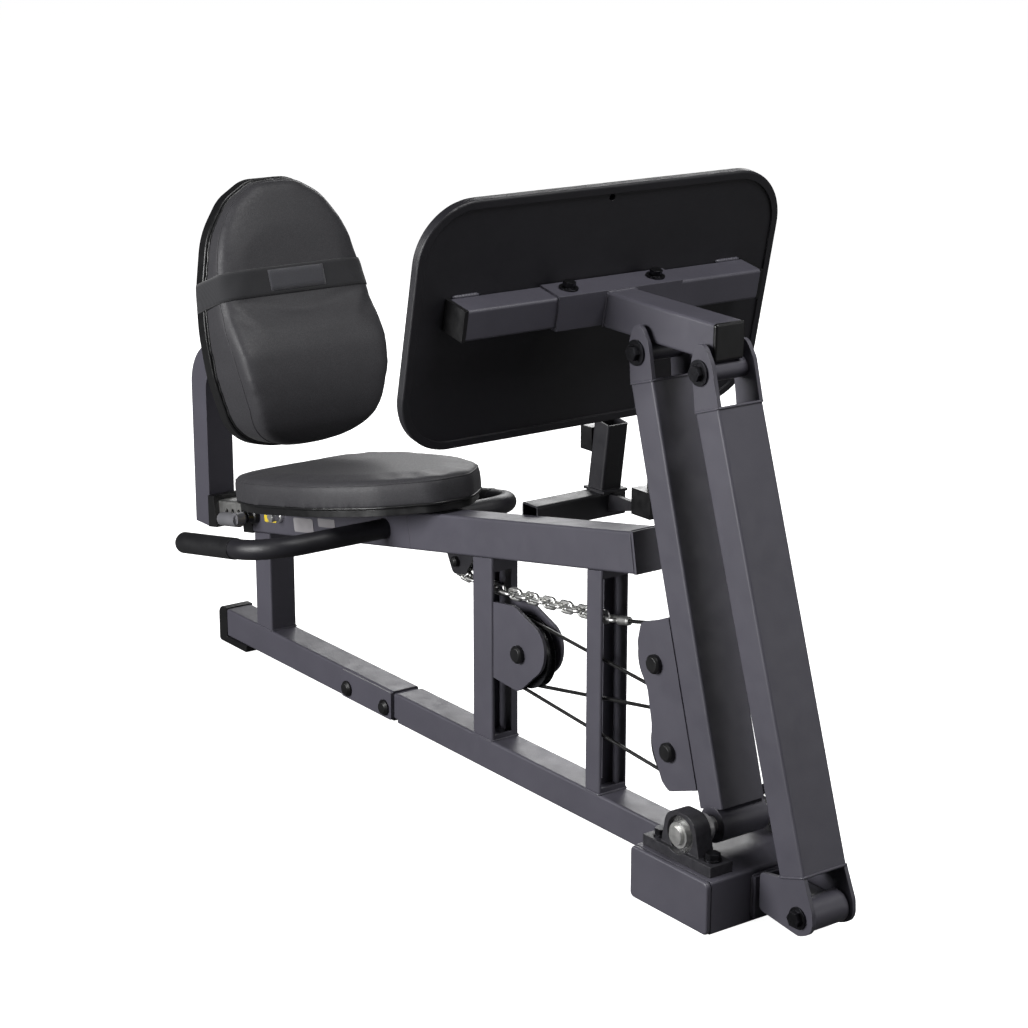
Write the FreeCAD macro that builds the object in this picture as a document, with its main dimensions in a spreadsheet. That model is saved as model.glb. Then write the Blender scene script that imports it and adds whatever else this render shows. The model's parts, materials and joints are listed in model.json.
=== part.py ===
"""Leg-press station: a seat and back on an inclined rail, and a foot plate on a four-bar linkage.

Millimetres.  +X runs from the back pad towards the linkage, +Z is up, and Y = 0 is the middle.
The origin is under the middle of the whole machine, on the floor.
"""
import FreeCAD, Part
import math
import os
import Sketcher

V = FreeCAD.Vector
doc = FreeCAD.newDocument("leg_press_station")

# ---------------------------------------------------------------- driving dimensions
SIZES = {
    "tube_side": 50,
    "tube_wall": 3,
    "tube_round": 4,
    "floor_gap": 12.5,
    "box_long": 160,
    "box_wide": 218,
    "box_high": 75,
    "rail_high": 60,
    "adjuster_side": 38,
    "hole_step": 21,
    "arm_deep": 48,
    "arm_wide": 77,
    "plate_wide": 620,
    "plate_high": 356,
    "plate_thick": 16,
    "plate_rim": 12,
    "cross_tube_side": 44,
    "cross_tube_deep": 46,
    "lug_thick": 6,
    "pulley_radius": 54,
    "cable_radius": 2.75,
    "cable_bend": 50,
    "shaft_radius": 12.5,
    "bearing_radius": 26,
    "running_gap": 0.05,
    "pivot_outer": 14,
    "pivot_bolt": 6,
    "open_pivot_bore": 8.5,
    "ground_pivot_outer": 22,
    "handle_radius": 16,
    "grip_radius": 17.2,
    "board_thick": 12,
    "seat_thick": 45,
    "seat_riser": 5,
    "strap_high": 47,
    "chain_wire": 3.1,
    "chain_pitch": 21.5,
    "chain_half_wide": 10.4,
}
sheet = doc.addObject("Spreadsheet::Sheet", "Sizes")
for row, (name, value) in enumerate(SIZES.items(), start=1):
    sheet.set("A%d" % row, name)
    sheet.set("B%d" % row, str(value))
    sheet.setAlias("B%d" % row, name)
doc.recompute()


def size(expression):
    """The value of a number, or of an expression on the sheet's aliases."""
    if isinstance(expression, str):
        return float(sheet.evalExpression(expression))
    return float(expression)


def bind(thing, prop, expression):
    """Set a property, and keep it tied to the sheet when it comes from there."""
    if isinstance(expression, str):
        thing.setExpression(prop, expression)
    else:
        setattr(thing, prop, expression)


WALL = "Sizes.tube_wall"
SIDE = "Sizes.tube_side"
HALF = size(SIDE) / 2

# Places along the frame.
BASE_TOP = size("Sizes.floor_gap") + size(SIDE)
BASE_REAR_X = -711
SPLICE_X = (-332, -186)
FRONT_TUBE_X = -171
BOX_X = 535
BOX_FRONT_X = BOX_X + size("Sizes.box_long")
REAR_UPRIGHT_X = -584.5
MID_UPRIGHT_X = 62
FRONT_UPRIGHT_X = 332.5
UPRIGHT_FRONT = MID_UPRIGHT_X + HALF

# The rail's own frame: x along the rail, z out of its top face.
RAIL_ANGLE = math.degrees(math.atan(0.178))
RAIL_COS = math.cos(math.radians(RAIL_ANGLE))
RAIL_SIN = math.sin(math.radians(RAIL_ANGLE))
RAIL_FRAME = FreeCAD.Placement(V(0, 0, 397.3), FreeCAD.Rotation(V(0, 1, 0), -RAIL_ANGLE))
RAIL_MIDDLE = -size("Sizes.rail_high") / 2

# Linkage pivots at rest, in the XZ plane.
REAR_PIVOT = V(613.7, 0, 111.5)
FRONT_PIVOT = V(785.5, 0, 39.9)
HEAD_PIVOT = V(437.3, 0, 726.7)
OPEN_PIVOT = V(566.7, 0, 722.5)

# Pulleys turn about Y; the cable's plane leans a little across the machine.
FRAME_PULLEY = V(152, -2, 220)
UPPER_PULLEY = V(488, -15, 304)
LOWER_PULLEY = V(519, -15, 185.6)
GUIDE_PULLEY = V(-14, -2, 322)

parts = []


def keep(thing, label):
    """Name a finished sub-part and put it on the list of files."""
    thing.Label = label
    parts.append(thing)
    return thing


# ---------------------------------------------------------------- building blocks
def place(origin, along, across=V(0, 1, 0)):
    """A placement whose own Z points along, and whose own Y points across."""
    return FreeCAD.Placement(V(origin), FreeCAD.Rotation(V(0, 0, 0), V(across), V(along), "ZYX"))


def at_x(x, depth=0):
    """Distance along the rail of a point at height depth over its top face whose X is x."""
    return (x + depth * RAIL_SIN) / RAIL_COS


def on_rail(along, across, height):
    """A point given in the rail's own frame."""
    return RAIL_FRAME.multVec(V(along, across, height))


RAIL_DIRECTION = RAIL_FRAME.Rotation.multVec(V(1, 0, 0))
RAIL_NORMAL = RAIL_FRAME.Rotation.multVec(V(0, 0, 1))


def rail_bottom(x):
    """Height of the rail's underside at X = x."""
    depth = -size("Sizes.rail_high")
    return on_rail(at_x(x, depth), 0, depth).z


def new_body(name):
    return doc.addObject("PartDesign::Body", name)


def new_sketch(body, role):
    sketch = body.newObject("Sketcher::SketchObject", body.Name + "_sketch")
    plane = [feature for feature in body.Origin.OriginFeatures if feature.Role == role][0]
    sketch.AttachmentSupport = (plane, [""])
    sketch.MapMode = "FlatFace"
    return sketch


def centred_rectangle(sketch, wide, high, tag):
    """A rectangle about the sketch's origin whose two sizes follow the sheet."""
    first = sketch.GeometryCount
    half_wide = size(wide) / 2
    half_high = size(high) / 2
    corners = [V(-half_wide, -half_high, 0), V(half_wide, -half_high, 0),
               V(half_wide, half_high, 0), V(-half_wide, half_high, 0)]
    for start, end in zip(corners, corners[1:] + corners[:1]):
        sketch.addGeometry(Part.LineSegment(start, end), False)
    for side in range(4):
        sketch.addConstraint(
            Sketcher.Constraint("Coincident", first + side, 2, first + (side + 1) % 4, 1))
    for side in (0, 2):
        sketch.addConstraint(Sketcher.Constraint("Horizontal", first + side))
        sketch.addConstraint(Sketcher.Constraint("Vertical", first + side + 1))
    sketch.addConstraint(Sketcher.Constraint("Symmetric", first, 1, first + 2, 1, -1, 1))
    for kind, side, length, word in (("DistanceX", 0, 2 * half_wide, "wide"),
                                     ("DistanceY", 1, 2 * half_high, "high")):
        index = sketch.addConstraint(
            Sketcher.Constraint(kind, first + side, 1, first + side, 2, length))
        sketch.renameConstraint(index, tag + "_" + word)
        expression = wide if word == "wide" else high
        if isinstance(expression, str):
            sketch.setExpression("Constraints." + tag + "_" + word, expression)


def outline(sketch, corners):
    """A closed outline of (x, y, radius) corners: straight sides joined by tangent arcs."""
    count = len(corners)
    runs = []
    for index, (x, y, radius) in enumerate(corners):
        here = V(x, y, 0)
        back = (V(corners[index - 1][0], corners[index - 1][1], 0) - here).normalize()
        ahead = corners[(index + 1) % count]
        ahead = (V(ahead[0], ahead[1], 0) - here).normalize()
        if radius == 0:
            runs.append((here, None, here))
            continue
        half_angle = back.getAngle(ahead) / 2
        reach = radius / math.tan(half_angle)
        middle = here + (back + ahead).normalize() * (radius / math.sin(half_angle) - radius)
        runs.append((here + back * reach, middle, here + ahead * reach))
    for index, (start, middle, end) in enumerate(runs):
        if middle is not None:
            sketch.addGeometry(Part.Arc(start, middle, end), False)
        following = runs[(index + 1) % count][0]
        if end.distanceToPoint(following) > 1e-6:
            sketch.addGeometry(Part.LineSegment(end, following), False)


def pad(body, sketch, length, symmetric=False):
    feature = body.newObject("PartDesign::Pad", body.Name + "_pad")
    feature.Profile = sketch
    if symmetric:
        feature.SideType = "Symmetric"
    bind(feature, "Length", length)
    sketch.Visibility = False
    return feature


def edges_along(shape, direction, minimum=0):
    """Names of the straight edges of a shape that run along a direction."""
    names = []
    for number, edge in enumerate(shape.Edges, start=1):
        if edge.Curve.TypeId != "Part::GeomLine" or edge.Length < minimum:
            continue
        if abs(edge.tangentAt(edge.FirstParameter).dot(direction)) > 0.999:
            names.append("Edge%d" % number)
    return names


def flat_faces(shape, direction, both=False):
    """Names of the flat faces of a shape that look along a direction, or also away from it."""
    names = []
    for number, face in enumerate(shape.Faces, start=1):
        if face.Surface.TypeId != "Part::GeomPlane":
            continue
        facing = face.normalAt(0, 0).dot(direction)
        if facing > 0.99 or (both and facing < -0.99):
            names.append("Face%d" % number)
    return names


def fillet(body, feature, names, radius):
    rounding = body.newObject("PartDesign::Fillet", body.Name + "_fillet")
    rounding.Base = (feature, names)
    bind(rounding, "Radius", radius)
    body.Tip = rounding
    return rounding


def tube(label, wide, high, length, where, wall=WALL, kept=True):
    """A square or rectangular tube with rounded corners, along its placement's Z."""
    body = new_body(label)
    sketch = new_sketch(body, "XY_Plane")
    centred_rectangle(sketch, wide, high, "outer")
    feature = pad(body, sketch, length)
    doc.recompute()
    rounding = fillet(body, feature, edges_along(feature.Shape, V(0, 0, 1)), "Sizes.tube_round")
    hollow = body.newObject("Sketcher::SketchObject", label + "_hollow")
    hollow.AttachmentSupport = sketch.AttachmentSupport
    hollow.MapMode = "FlatFace"
    bore_wide = "(%s) - 2 * %s" % (wide, wall)
    bore_high = "(%s) - 2 * %s" % (high, wall)
    centred_rectangle(hollow, bore_wide, bore_high, "inner")
    cut = body.newObject("PartDesign::Pocket", label + "_bore")
    cut.Profile = hollow
    cut.Reversed = True
    cut.Type = "ThroughAll"
    hollow.Visibility = False
    body.Tip = cut
    body.Placement = where
    doc.recompute()
    assert cut.Shape.Volume < 0.7 * rounding.Shape.Volume, label
    return keep(body, label) if kept else body


def side_plate(label, corners, thickness, middle_y=0, kept=True, soften=0):
    """A plate whose outline lies in the XZ plane, centred on Y = middle_y."""
    body = new_body(label)
    sketch = new_sketch(body, "XZ_Plane")
    outline(sketch, corners)
    feature = pad(body, sketch, thickness, symmetric=True)
    if soften:
        doc.recompute()
        fillet(body, feature, flat_faces(feature.Shape, V(0, 1, 0), both=True), soften)
    body.Placement = FreeCAD.Placement(V(0, middle_y, 0), FreeCAD.Rotation())
    return keep(body, label) if kept else body


def turned(label, profile, where, kept=True):
    """A solid of revolution about its placement's Z, from (radius, height) corners."""
    body = new_body(label)
    sketch = new_sketch(body, "XZ_Plane")
    outline(sketch, [(radius, height, 0) for radius, height in profile])
    feature = body.newObject("PartDesign::Revolution", label + "_turn")
    feature.Profile = sketch
    feature.ReferenceAxis = (sketch, ["V_Axis"])
    feature.Angle = 360
    sketch.Visibility = False
    body.Placement = where
    return keep(body, label) if kept else body


def rod(name, radius, length, where):
    """A plain cylinder along its placement's Z."""
    solid = doc.addObject("Part::Cylinder", name)
    bind(solid, "Radius", radius)
    bind(solid, "Height", length)
    solid.Placement = where
    return solid


def block(name, low, high, frame=None):
    """A box between two corners, in the machine's frame or in another one."""
    solid = doc.addObject("Part::Box", name)
    solid.Length = high[0] - low[0]
    solid.Width = high[1] - low[1]
    solid.Height = high[2] - low[2]
    corner = FreeCAD.Placement(V(*low), FreeCAD.Rotation())
    solid.Placement = frame.multiply(corner) if frame else corner
    return solid


def fuse(label, solids, kept=True):
    joined = doc.addObject("Part::MultiFuse", label)
    joined.Shapes = solids
    return keep(joined, label) if kept else joined


def cut(label, base, tool, kept=True):
    result = doc.addObject("Part::Cut", label)
    result.Base = base
    result.Tool = tool
    return keep(result, label) if kept else result


def group(label, solids):
    """Separate solids of one kind that share a file."""
    gathered = doc.addObject("Part::Compound", label)
    gathered.Links = solids
    return keep(gathered, label)


def lifted(where, height):
    """The same placement moved along its own Z."""
    return where.multiply(FreeCAD.Placement(V(0, 0, height), FreeCAD.Rotation()))


def hex_bolt(name, where, shank, length, flats, head=8):
    """Head down from the origin of its placement, shank up along its Z."""
    prism = doc.addObject("Part::Prism", name + "_head")
    prism.Polygon = 6
    prism.Circumradius = flats / math.sqrt(3)
    prism.Height = head
    prism.Placement = lifted(where, -head)
    return fuse(name, [prism, rod(name + "_shank", shank, length, where)], kept=False)


def washer(name, outer, inner, thick, where):
    """A flat washer that stands on its placement's Z."""
    return cut(name, rod(name + "_disc", outer, thick, where),
               rod(name + "_hole", inner, thick, where), kept=False)


# ---------------------------------------------------------------- base
def make_base():
    base_middle = size("Sizes.floor_gap") + HALF
    rear_start = place(V(BASE_REAR_X, 0, base_middle), V(1, 0, 0))
    tube("base_tube_rear", SIDE, SIDE, SPLICE_X[1] - BASE_REAR_X, rear_start)
    front_start = place(V(FRONT_TUBE_X, 0, base_middle), V(1, 0, 0))
    tube("base_tube_front", SIDE, SIDE, BOX_X - FRONT_TUBE_X, front_start)
    spigot_side = "%s - 2 * %s - 0.4" % (SIDE, WALL)
    tube("splice_spigot", spigot_side, spigot_side, 230,
         place(V(SPLICE_X[0] + 10, 0, base_middle), V(1, 0, 0)))
    side_plate("splice_plates", [(SPLICE_X[0], base_middle - 23, 3), (SPLICE_X[1], base_middle - 23, 3),
                                 (SPLICE_X[1], base_middle + 23, 3), (SPLICE_X[0], base_middle + 23, 3)],
               3, -HALF - 1.5)
    bolts = []
    for number, x in enumerate((-314.5, -204.3)):
        where = place(V(x, -HALF - 3, base_middle - 6), V(0, -1, 0), V(1, 0, 0))
        cap = turned("splice_cap_%d" % number, [(0, 0), (13, 0), (13, 3), (9, 7), (0, 8)], where, kept=False)
        bolts.append(cap)
    group("splice_bolt_caps", bolts)
    rear = BASE_REAR_X - 27
    under = rear + 93
    gap = size("Sizes.floor_gap")
    side_plate("base_rear_cap", [(rear, 0, 6), (under, 0, 4), (under, gap, 0), (BASE_REAR_X, gap, 0),
                                 (BASE_REAR_X, BASE_TOP + 2, 0), (rear, BASE_TOP + 2, 14)], 54, soften=2)

    box_place = place(V(BOX_X + size("Sizes.box_long") / 2, -size("Sizes.box_wide") / 2,
                        size("Sizes.box_high") / 2), V(0, 1, 0), V(0, 0, 1))
    ends = [tube("cross_box_tube", "Sizes.box_long", "Sizes.box_high", "Sizes.box_wide", box_place, wall="4",
                 kept=False)]
    for side in (-1, 1):
        middle = side * (size("Sizes.box_wide") / 2 + 4)
        corners = [(BOX_X, 0, 8), (BOX_FRONT_X, 0, 8), (BOX_FRONT_X, size("Sizes.box_high"), 8),
                   (BOX_X, size("Sizes.box_high"), 8)]
        ends.append(side_plate("box_end_%d" % (side + 1), corners, 8, middle, kept=False, soften=3))
    fuse("cross_box", ends)


SLOT_REACH = 40


def make_uprights():
    """Three uprights on the base tube, mitred under the rail."""
    above_rail = block("above_rail_bottom", (-900, -60, -size("Sizes.rail_high")), (900, 60, 300),
                       RAIL_FRAME)
    # Openings for the cable: lowest and highest point, then near and far edge, in front and behind.
    slots = {"mid": (72, 330, (-19.5, 12.5), (-19.5, 12.5)), "front": (72, 386, (-21.5, 21.5), (-18.5, 5.5))}
    for word, x, deep in (("rear", REAR_UPRIGHT_X, SIDE), ("mid", MID_UPRIGHT_X, SIDE),
                          ("front", FRONT_UPRIGHT_X, "0.7 * " + SIDE)):
        start = place(V(x, 0, BASE_TOP), V(0, 0, 1))
        post = tube(word + "_upright_tube", deep, SIDE, rail_bottom(x) - BASE_TOP + 12, start, kept=False)
        if word == "rear":
            cut("rear_upright", post, above_rail)
            continue
        mitred = cut(word + "_upright_mitred", post, above_rail, kept=False)
        low, high, ahead, behind = slots[word]
        front_slot = block(word + "_front_slot", (x, ahead[0], low), (x + SLOT_REACH, ahead[1], high))
        rear_slot = block(word + "_rear_slot", (x - SLOT_REACH, behind[0], low), (x, behind[1], high))
        slot = fuse(word + "_slot", [front_slot, rear_slot], kept=False)
        cut(word + "_upright", mitred, slot)


# ---------------------------------------------------------------- rail, seat and handles
def make_rail():
    seam = at_x(-133, RAIL_MIDDLE)
    rear = at_x(-616, RAIL_MIDDLE)
    front = at_x(417.5) - 6
    upward = RAIL_NORMAL
    rear_place = FreeCAD.Placement(on_rail(rear, 0, RAIL_MIDDLE), rail_turn())
    rear_tube = tube("rail_rear_tube", "Sizes.rail_high", SIDE, seam - 0.5 - rear, rear_place, kept=False)
    bar_hole = rod("handle_hole", "Sizes.handle_radius + 0.2", 120,
                   place(handle_centre() - V(0, 60, 0), V(0, 1, 0), upward))
    pin_hole = rod("pin_hole", 5.3, 30, place(pin_centre() + V(0, -40, 0), V(0, 1, 0), upward))
    holes = fuse("rail_holes", [bar_hole, pin_hole], kept=False)
    cut("rail_rear", rear_tube, holes)
    front_place = FreeCAD.Placement(on_rail(seam, 0, RAIL_MIDDLE), rail_turn())
    front_tube = tube("rail_front_tube", "Sizes.rail_high", SIDE, front - seam, front_place, kept=False)
    chain_slot = block("chain_slot", (-58, -17, 300), (18, 13, 348))
    slotted = cut("rail_front_slotted", front_tube, chain_slot, kept=False)
    end = block("rail_end_plate", (front, -HALF, -size("Sizes.rail_high")), (front + 6, HALF, 0), RAIL_FRAME)
    fuse("rail_front", [slotted, end])

    bush_rear = at_x(-647, RAIL_MIDDLE)
    skin = 1.5
    bush = block("bush_block", (bush_rear, -HALF - skin, 2 * RAIL_MIDDLE - skin), (rear, HALF + skin, skin),
                 RAIL_FRAME)
    opening = size("Sizes.adjuster_side") / 2 + 0.3
    bore = block("bush_bore", (bush_rear, -opening, RAIL_MIDDLE - opening),
                 (rear, opening, RAIL_MIDDLE + opening), RAIL_FRAME)
    cut("rail_bushing", bush, bore)


def rail_turn():
    """Rotation that lays a tube's own Z along the rail and its own X across the rail's height."""
    return FreeCAD.Rotation(V(0, 0, 0), V(0, 1, 0), RAIL_DIRECTION, "ZYX")


def pin_centre():
    return on_rail(at_x(-600, RAIL_MIDDLE), 0, RAIL_MIDDLE)


HANDLE_BAR_X = -200
HANDLE_TIP_X = -449


def handle_centre():
    return on_rail(at_x(HANDLE_BAR_X, RAIL_MIDDLE), 0, RAIL_MIDDLE)


def handle_path(bend, reach):
    """A U in the rail's plane: rearward arm, bend, crossbar, bend, rearward arm."""
    front = at_x(HANDLE_BAR_X, RAIL_MIDDLE)
    tip = at_x(HANDLE_TIP_X, RAIL_MIDDLE)

    def point(along, across):
        return on_rail(along, across, RAIL_MIDDLE)

    diagonal = bend * (1 - math.sqrt(0.5))
    edges = [Part.LineSegment(point(tip, -reach), point(front - bend, -reach)),
             Part.Arc(point(front - bend, -reach), point(front - diagonal, -reach + diagonal),
                      point(front, -reach + bend)),
             Part.LineSegment(point(front, -reach + bend), point(front, reach - bend)),
             Part.Arc(point(front, reach - bend), point(front - diagonal, reach - diagonal),
                      point(front - bend, reach)),
             Part.LineSegment(point(front - bend, reach), point(tip, reach))]
    return Part.Wire([edge.toShape() for edge in edges])


def make_handles():
    """The seat's handle bar, bent from one tube, and a rubber grip on each arm."""
    reach = 246
    bend = 70
    grip_long = 170
    path = handle_path(bend, reach)
    start = path.Edges[0].Vertexes[0].Point
    radius = size("Sizes.handle_radius")
    solids = []
    for ring_radius in (radius, radius - 2.5):
        ring = Part.Wire(Part.Circle(start, RAIL_DIRECTION, ring_radius).toShape())
        solids.append(path.makePipeShell([ring], True, False))
    bar = doc.addObject("Part::Feature", "handle_bar")
    bar.Shape = solids[0].cut(solids[1])
    keep(bar, "handle_bar")
    grips = []
    outer = size("Sizes.grip_radius")
    end_wall = 4
    for side in (-1, 1):
        tail = on_rail(at_x(HANDLE_TIP_X - end_wall, RAIL_MIDDLE), side * reach, RAIL_MIDDLE)
        profile = [(0, 0), (outer - 5, 0), (outer - 1.5, 1.2), (outer, 5), (outer, grip_long),
                   (radius + 0.05, grip_long), (radius + 0.05, end_wall - 0.1), (0, end_wall - 0.1)]
        grips.append(turned("grip_%d" % (side + 1), profile, place(tail, RAIL_DIRECTION), kept=False))
    group("handle_grips", grips)


# Half of the seat's outline, as X, half width and corner radius, from the rear to the nose.
SEAT_SIDE = [(-495, 130, 52), (-392, 157, 200), (-222, 145, 300), (-112, 105, 110), (-38, 34, 45)]
SEAT_MIDDLE_X = -280


def seat_layer(label, inset, thick, low, soften, kept=True):
    """One layer of the seat, drawn along the rail's top face."""
    body = new_body(label)
    sketch = new_sketch(body, "XY_Plane")
    near = []
    for x, half_wide, radius in SEAT_SIDE:
        along = at_x(x) + (inset if x < SEAT_MIDDLE_X else -inset)
        near.append((along, inset - half_wide, radius))
    far = [(along, -across, radius) for along, across, radius in reversed(near)]
    outline(sketch, near + far)
    feature = pad(body, sketch, thick)
    doc.recompute()
    fillet(body, feature, flat_faces(feature.Shape, V(0, 0, 1)), soften)
    body.Placement = RAIL_FRAME.multiply(FreeCAD.Placement(V(0, 0, low), FreeCAD.Rotation()))
    return keep(body, label) if kept else body


def make_seat():
    """A board on a riser that is welded to the rail, and the pad on the board."""
    riser = size("Sizes.seat_riser")
    board_top = riser + size("Sizes.board_thick")
    board = seat_layer("seat_board_sheet", 4, "Sizes.board_thick", riser, 2, kept=False)
    foot = block("seat_riser", (at_x(-470), -HALF, 0), (at_x(-150), HALF, riser), RAIL_FRAME)
    fuse("seat_board", [board, foot])
    seat_layer("seat_pad", 0, "Sizes.seat_thick", board_top, 14)


# ---------------------------------------------------------------- sliding back
POST_FRONT_X = -761


def make_back():
    post_space = block("post_space", (-900, -80, 100), (POST_FRONT_X, 80, 400))
    tail = at_x(-790, RAIL_MIDDLE)
    tip = at_x(-345, RAIL_MIDDLE)
    side = "Sizes.adjuster_side"
    inner = tube("adjuster_blank", side, side, tip - tail,
                 FreeCAD.Placement(on_rail(tail, 0, RAIL_MIDDLE), rail_turn()), kept=False)
    holes = []
    for number in range(9):
        x = -711.5 + number * size("Sizes.hole_step") * RAIL_COS
        centre = on_rail(at_x(x, RAIL_MIDDLE), 0, RAIL_MIDDLE)
        holes.append(rod("adjuster_hole_%d" % number, 5.3, 30, place(centre, V(0, -1, 0), V(0, 0, 1))))
    space = fuse("adjuster_space", [post_space] + holes, kept=False)
    cut("adjuster_tube", inner, space)

    collar_front = at_x(-737, RAIL_MIDDLE)
    half = 28
    skin = block("collar_block", (tail, -half, RAIL_MIDDLE - half), (collar_front, half, RAIL_MIDDLE + half),
                 RAIL_FRAME)
    reach = size(side) / 2 + 0.2
    bore = block("collar_bore", (tail, -reach, RAIL_MIDDLE - reach),
                 (collar_front, reach, RAIL_MIDDLE + reach), RAIL_FRAME)
    hollow = cut("collar_hollow", skin, bore, kept=False)
    cut("adjuster_collar", hollow, post_space)

    make_back_post()
    make_back_pad()


def make_back_post():
    """An upright tube that bends forward and meets the back board level."""
    foot = 202.5
    bend_start = 450
    bend_radius = 60
    middle_x = POST_FRONT_X - HALF
    level = bend_start + bend_radius
    diagonal = bend_radius * (1 - math.sqrt(0.5))
    bend_end = V(middle_x + bend_radius, 0, level)
    path = Part.Wire([Part.LineSegment(V(middle_x, 0, foot), V(middle_x, 0, bend_start)).toShape(),
                      Part.Arc(V(middle_x, 0, bend_start), V(middle_x + diagonal, 0, level - diagonal),
                               bend_end).toShape(),
                      Part.LineSegment(bend_end, bend_end + V(220, 0, 0)).toShape()])
    rings = []
    for half in (HALF, HALF - size(WALL)):
        corners = [V(middle_x - half, -half, foot), V(middle_x + half, -half, foot),
                   V(middle_x + half, half, foot), V(middle_x - half, half, foot)]
        rings.append(path.makePipeShell([Part.makePolygon(corners + corners[:1])], True, False))
    shell = rings[0].cut(rings[1])
    trim = Part.makeBox(400, 400, 900)
    trim.Placement = BACK_FRAME.multiply(FreeCAD.Placement(V(BACK_REAR, -200, -200), FreeCAD.Rotation()))
    post = doc.addObject("Part::Feature", "back_post")
    post.Shape = shell.cut(trim)
    keep(post, "back_post")


# The back pad's own frame: x out of its front face, z up its middle line.
BACK_LEAN = 8.96
BACK_FRAME = FreeCAD.Placement(V(-493, 0, 418.5), FreeCAD.Rotation(V(0, 1, 0), -BACK_LEAN))
BACK_REAR = -38
BOARD_THICK = 22
# Half of the back rest's outline, as half width, height and corner radius, from the top down.
BACK_SIDE = [(38, 427, 60), (86, 399, 70), (124, 345, 140), (143, 255, 250), (146, 185, 300),
             (140, 110, 300), (113, 8, 75), (45, -13, 150)]
BACK_MIDDLE = 200
# The pad's side view: how far its front stands out, against height. It bulges behind the waist.
BACK_FRONT = [(20, -20), (50, -8), (80, 25), (93, 60), (96, 105), (90, 150), (69, 190), (50, 218),
              (38, 265), (29, 340), (14, 430)]


def back_blank(label, inset, low, high):
    """The back rest's outline as a slab between two distances out of the back frame."""
    body = new_body(label)
    sketch = new_sketch(body, "YZ_Plane")
    far = [(half_wide - inset, height + (inset if height < BACK_MIDDLE else -inset), radius)
           for half_wide, height, radius in BACK_SIDE]
    near = [(-across, height, radius) for across, height, radius in reversed(far)]
    outline(sketch, far + near)
    feature = pad(body, sketch, high - low)
    body.Placement = BACK_FRAME.multiply(FreeCAD.Placement(V(low, 0, 0), FreeCAD.Rotation()))
    return body, feature


def back_side_view(label, growth, start, kept_band=None, drop=0):
    """The pad's side view as a solid across the machine, grown outwards.

    With a band of two heights, only that band is kept, and it falls by drop towards the board.
    """
    profile = [(x + growth, height) for x, height in BACK_FRONT]
    if kept_band:
        low, high = kept_band
        ends = [band_point(height, growth) for height in kept_band]
        inner = [point for point in profile if low < point[1] < high]
        profile = [ends[0]] + inner + [ends[1]]
    corners = [(start, profile[0][1] - drop)] + profile + [(start, profile[-1][1] - drop)]
    body = new_body(label)
    sketch = new_sketch(body, "XZ_Plane")
    outline(sketch, [(x, height, 0) for x, height in corners])
    pad(body, sketch, 360, symmetric=True)
    body.Placement = BACK_FRAME
    return body


def band_point(height, growth):
    """Where the pad's side view stands at a height."""
    for (low_x, low), (high_x, high) in zip(BACK_FRONT, BACK_FRONT[1:]):
        if low <= height <= high:
            return (low_x + (high_x - low_x) * (height - low) / (high - low) + growth, height)
    raise ValueError("no pad at height %s" % height)


def common(label, first, second, kept=True):
    shared = doc.addObject("Part::MultiCommon", label)
    shared.Shapes = [first, second]
    return keep(shared, label) if kept else shared


def make_back_pad():
    front = BACK_REAR + BOARD_THICK
    board, feature = back_blank("back_board", 0, BACK_REAR, front)
    doc.recompute()
    fillet(board, feature, flat_faces(feature.Shape, V(1, 0, 0)), 3)
    keep(board, "back_board")
    deepest = max(x for x, _ in BACK_FRONT)
    blank, _ = back_blank("back_pad_blank", 3, front, deepest + 5)
    common("back_pad", blank, back_side_view("back_pad_profile", 0, front))
    make_back_strap(deepest)


def make_back_strap(deepest):
    """An elastic band right round the back rest."""
    low = 236
    high = low + size("Sizes.strap_high")
    spare = 10
    drop = 21
    gap = 0.4
    thick = 1.6
    layers = []
    for word, growth, band in (("outer", gap + thick, (low, high)),
                               ("inner", gap, (low - spare, high + spare))):
        blank, _ = back_blank("strap_blank_" + word, -growth, BACK_REAR - growth, deepest + 5)
        side_view = back_side_view("strap_profile_" + word, growth, BACK_REAR - growth, band, drop)
        layers.append(common("strap_" + word, blank, side_view, kept=False))
    cut("back_strap", *layers)


# ---------------------------------------------------------------- pull pin and small fittings
def make_pull_pin():
    """A spring pin in a threaded barrel, pulled out by a cross handle."""
    face = pin_centre() + V(0, -HALF, 0)
    outward = place(face, V(0, -1, 0), RAIL_NORMAL)
    turned("pin_barrel", [(5.35, 0), (13, 0), (13, 9), (10.5, 11), (10.5, 20), (5.35, 20)], outward)
    shank_start = face + V(0, 5.4, 0)
    stem = rod("pin_stem", 5.3, 48, place(shank_start, V(0, -1, 0), RAIL_NORMAL))
    hub = rod("pin_hub", 10.5, 16, place(face + V(0, -26, 0), V(0, -1, 0), RAIL_NORMAL))
    grip_start = face + V(4, -36, -2)
    grip = rod("pin_grip_bar", 12, 56, place(grip_start, RAIL_DIRECTION * -1))
    fuse("pull_pin", [stem, hub, grip])


def make_fittings():
    """A clamp bolt through the rail's side and the pads' hidden screws."""
    face = on_rail(at_x(-520, -26), -HALF, -26)
    where = place(face, V(0, -1, 0), RAIL_NORMAL)
    stud = turned("rail_stud", [(0, 0), (11, 0), (11, 6), (8.5, 7), (8.5, 14), (0, 14)], where, kept=False)
    nut = doc.addObject("Part::Prism", "rail_stud_nut")
    nut.Polygon = 6
    nut.Circumradius = 9.2
    nut.Height = 7
    nut.Placement = lifted(where, 14)
    group("rail_bolt", [stud, nut])


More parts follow.
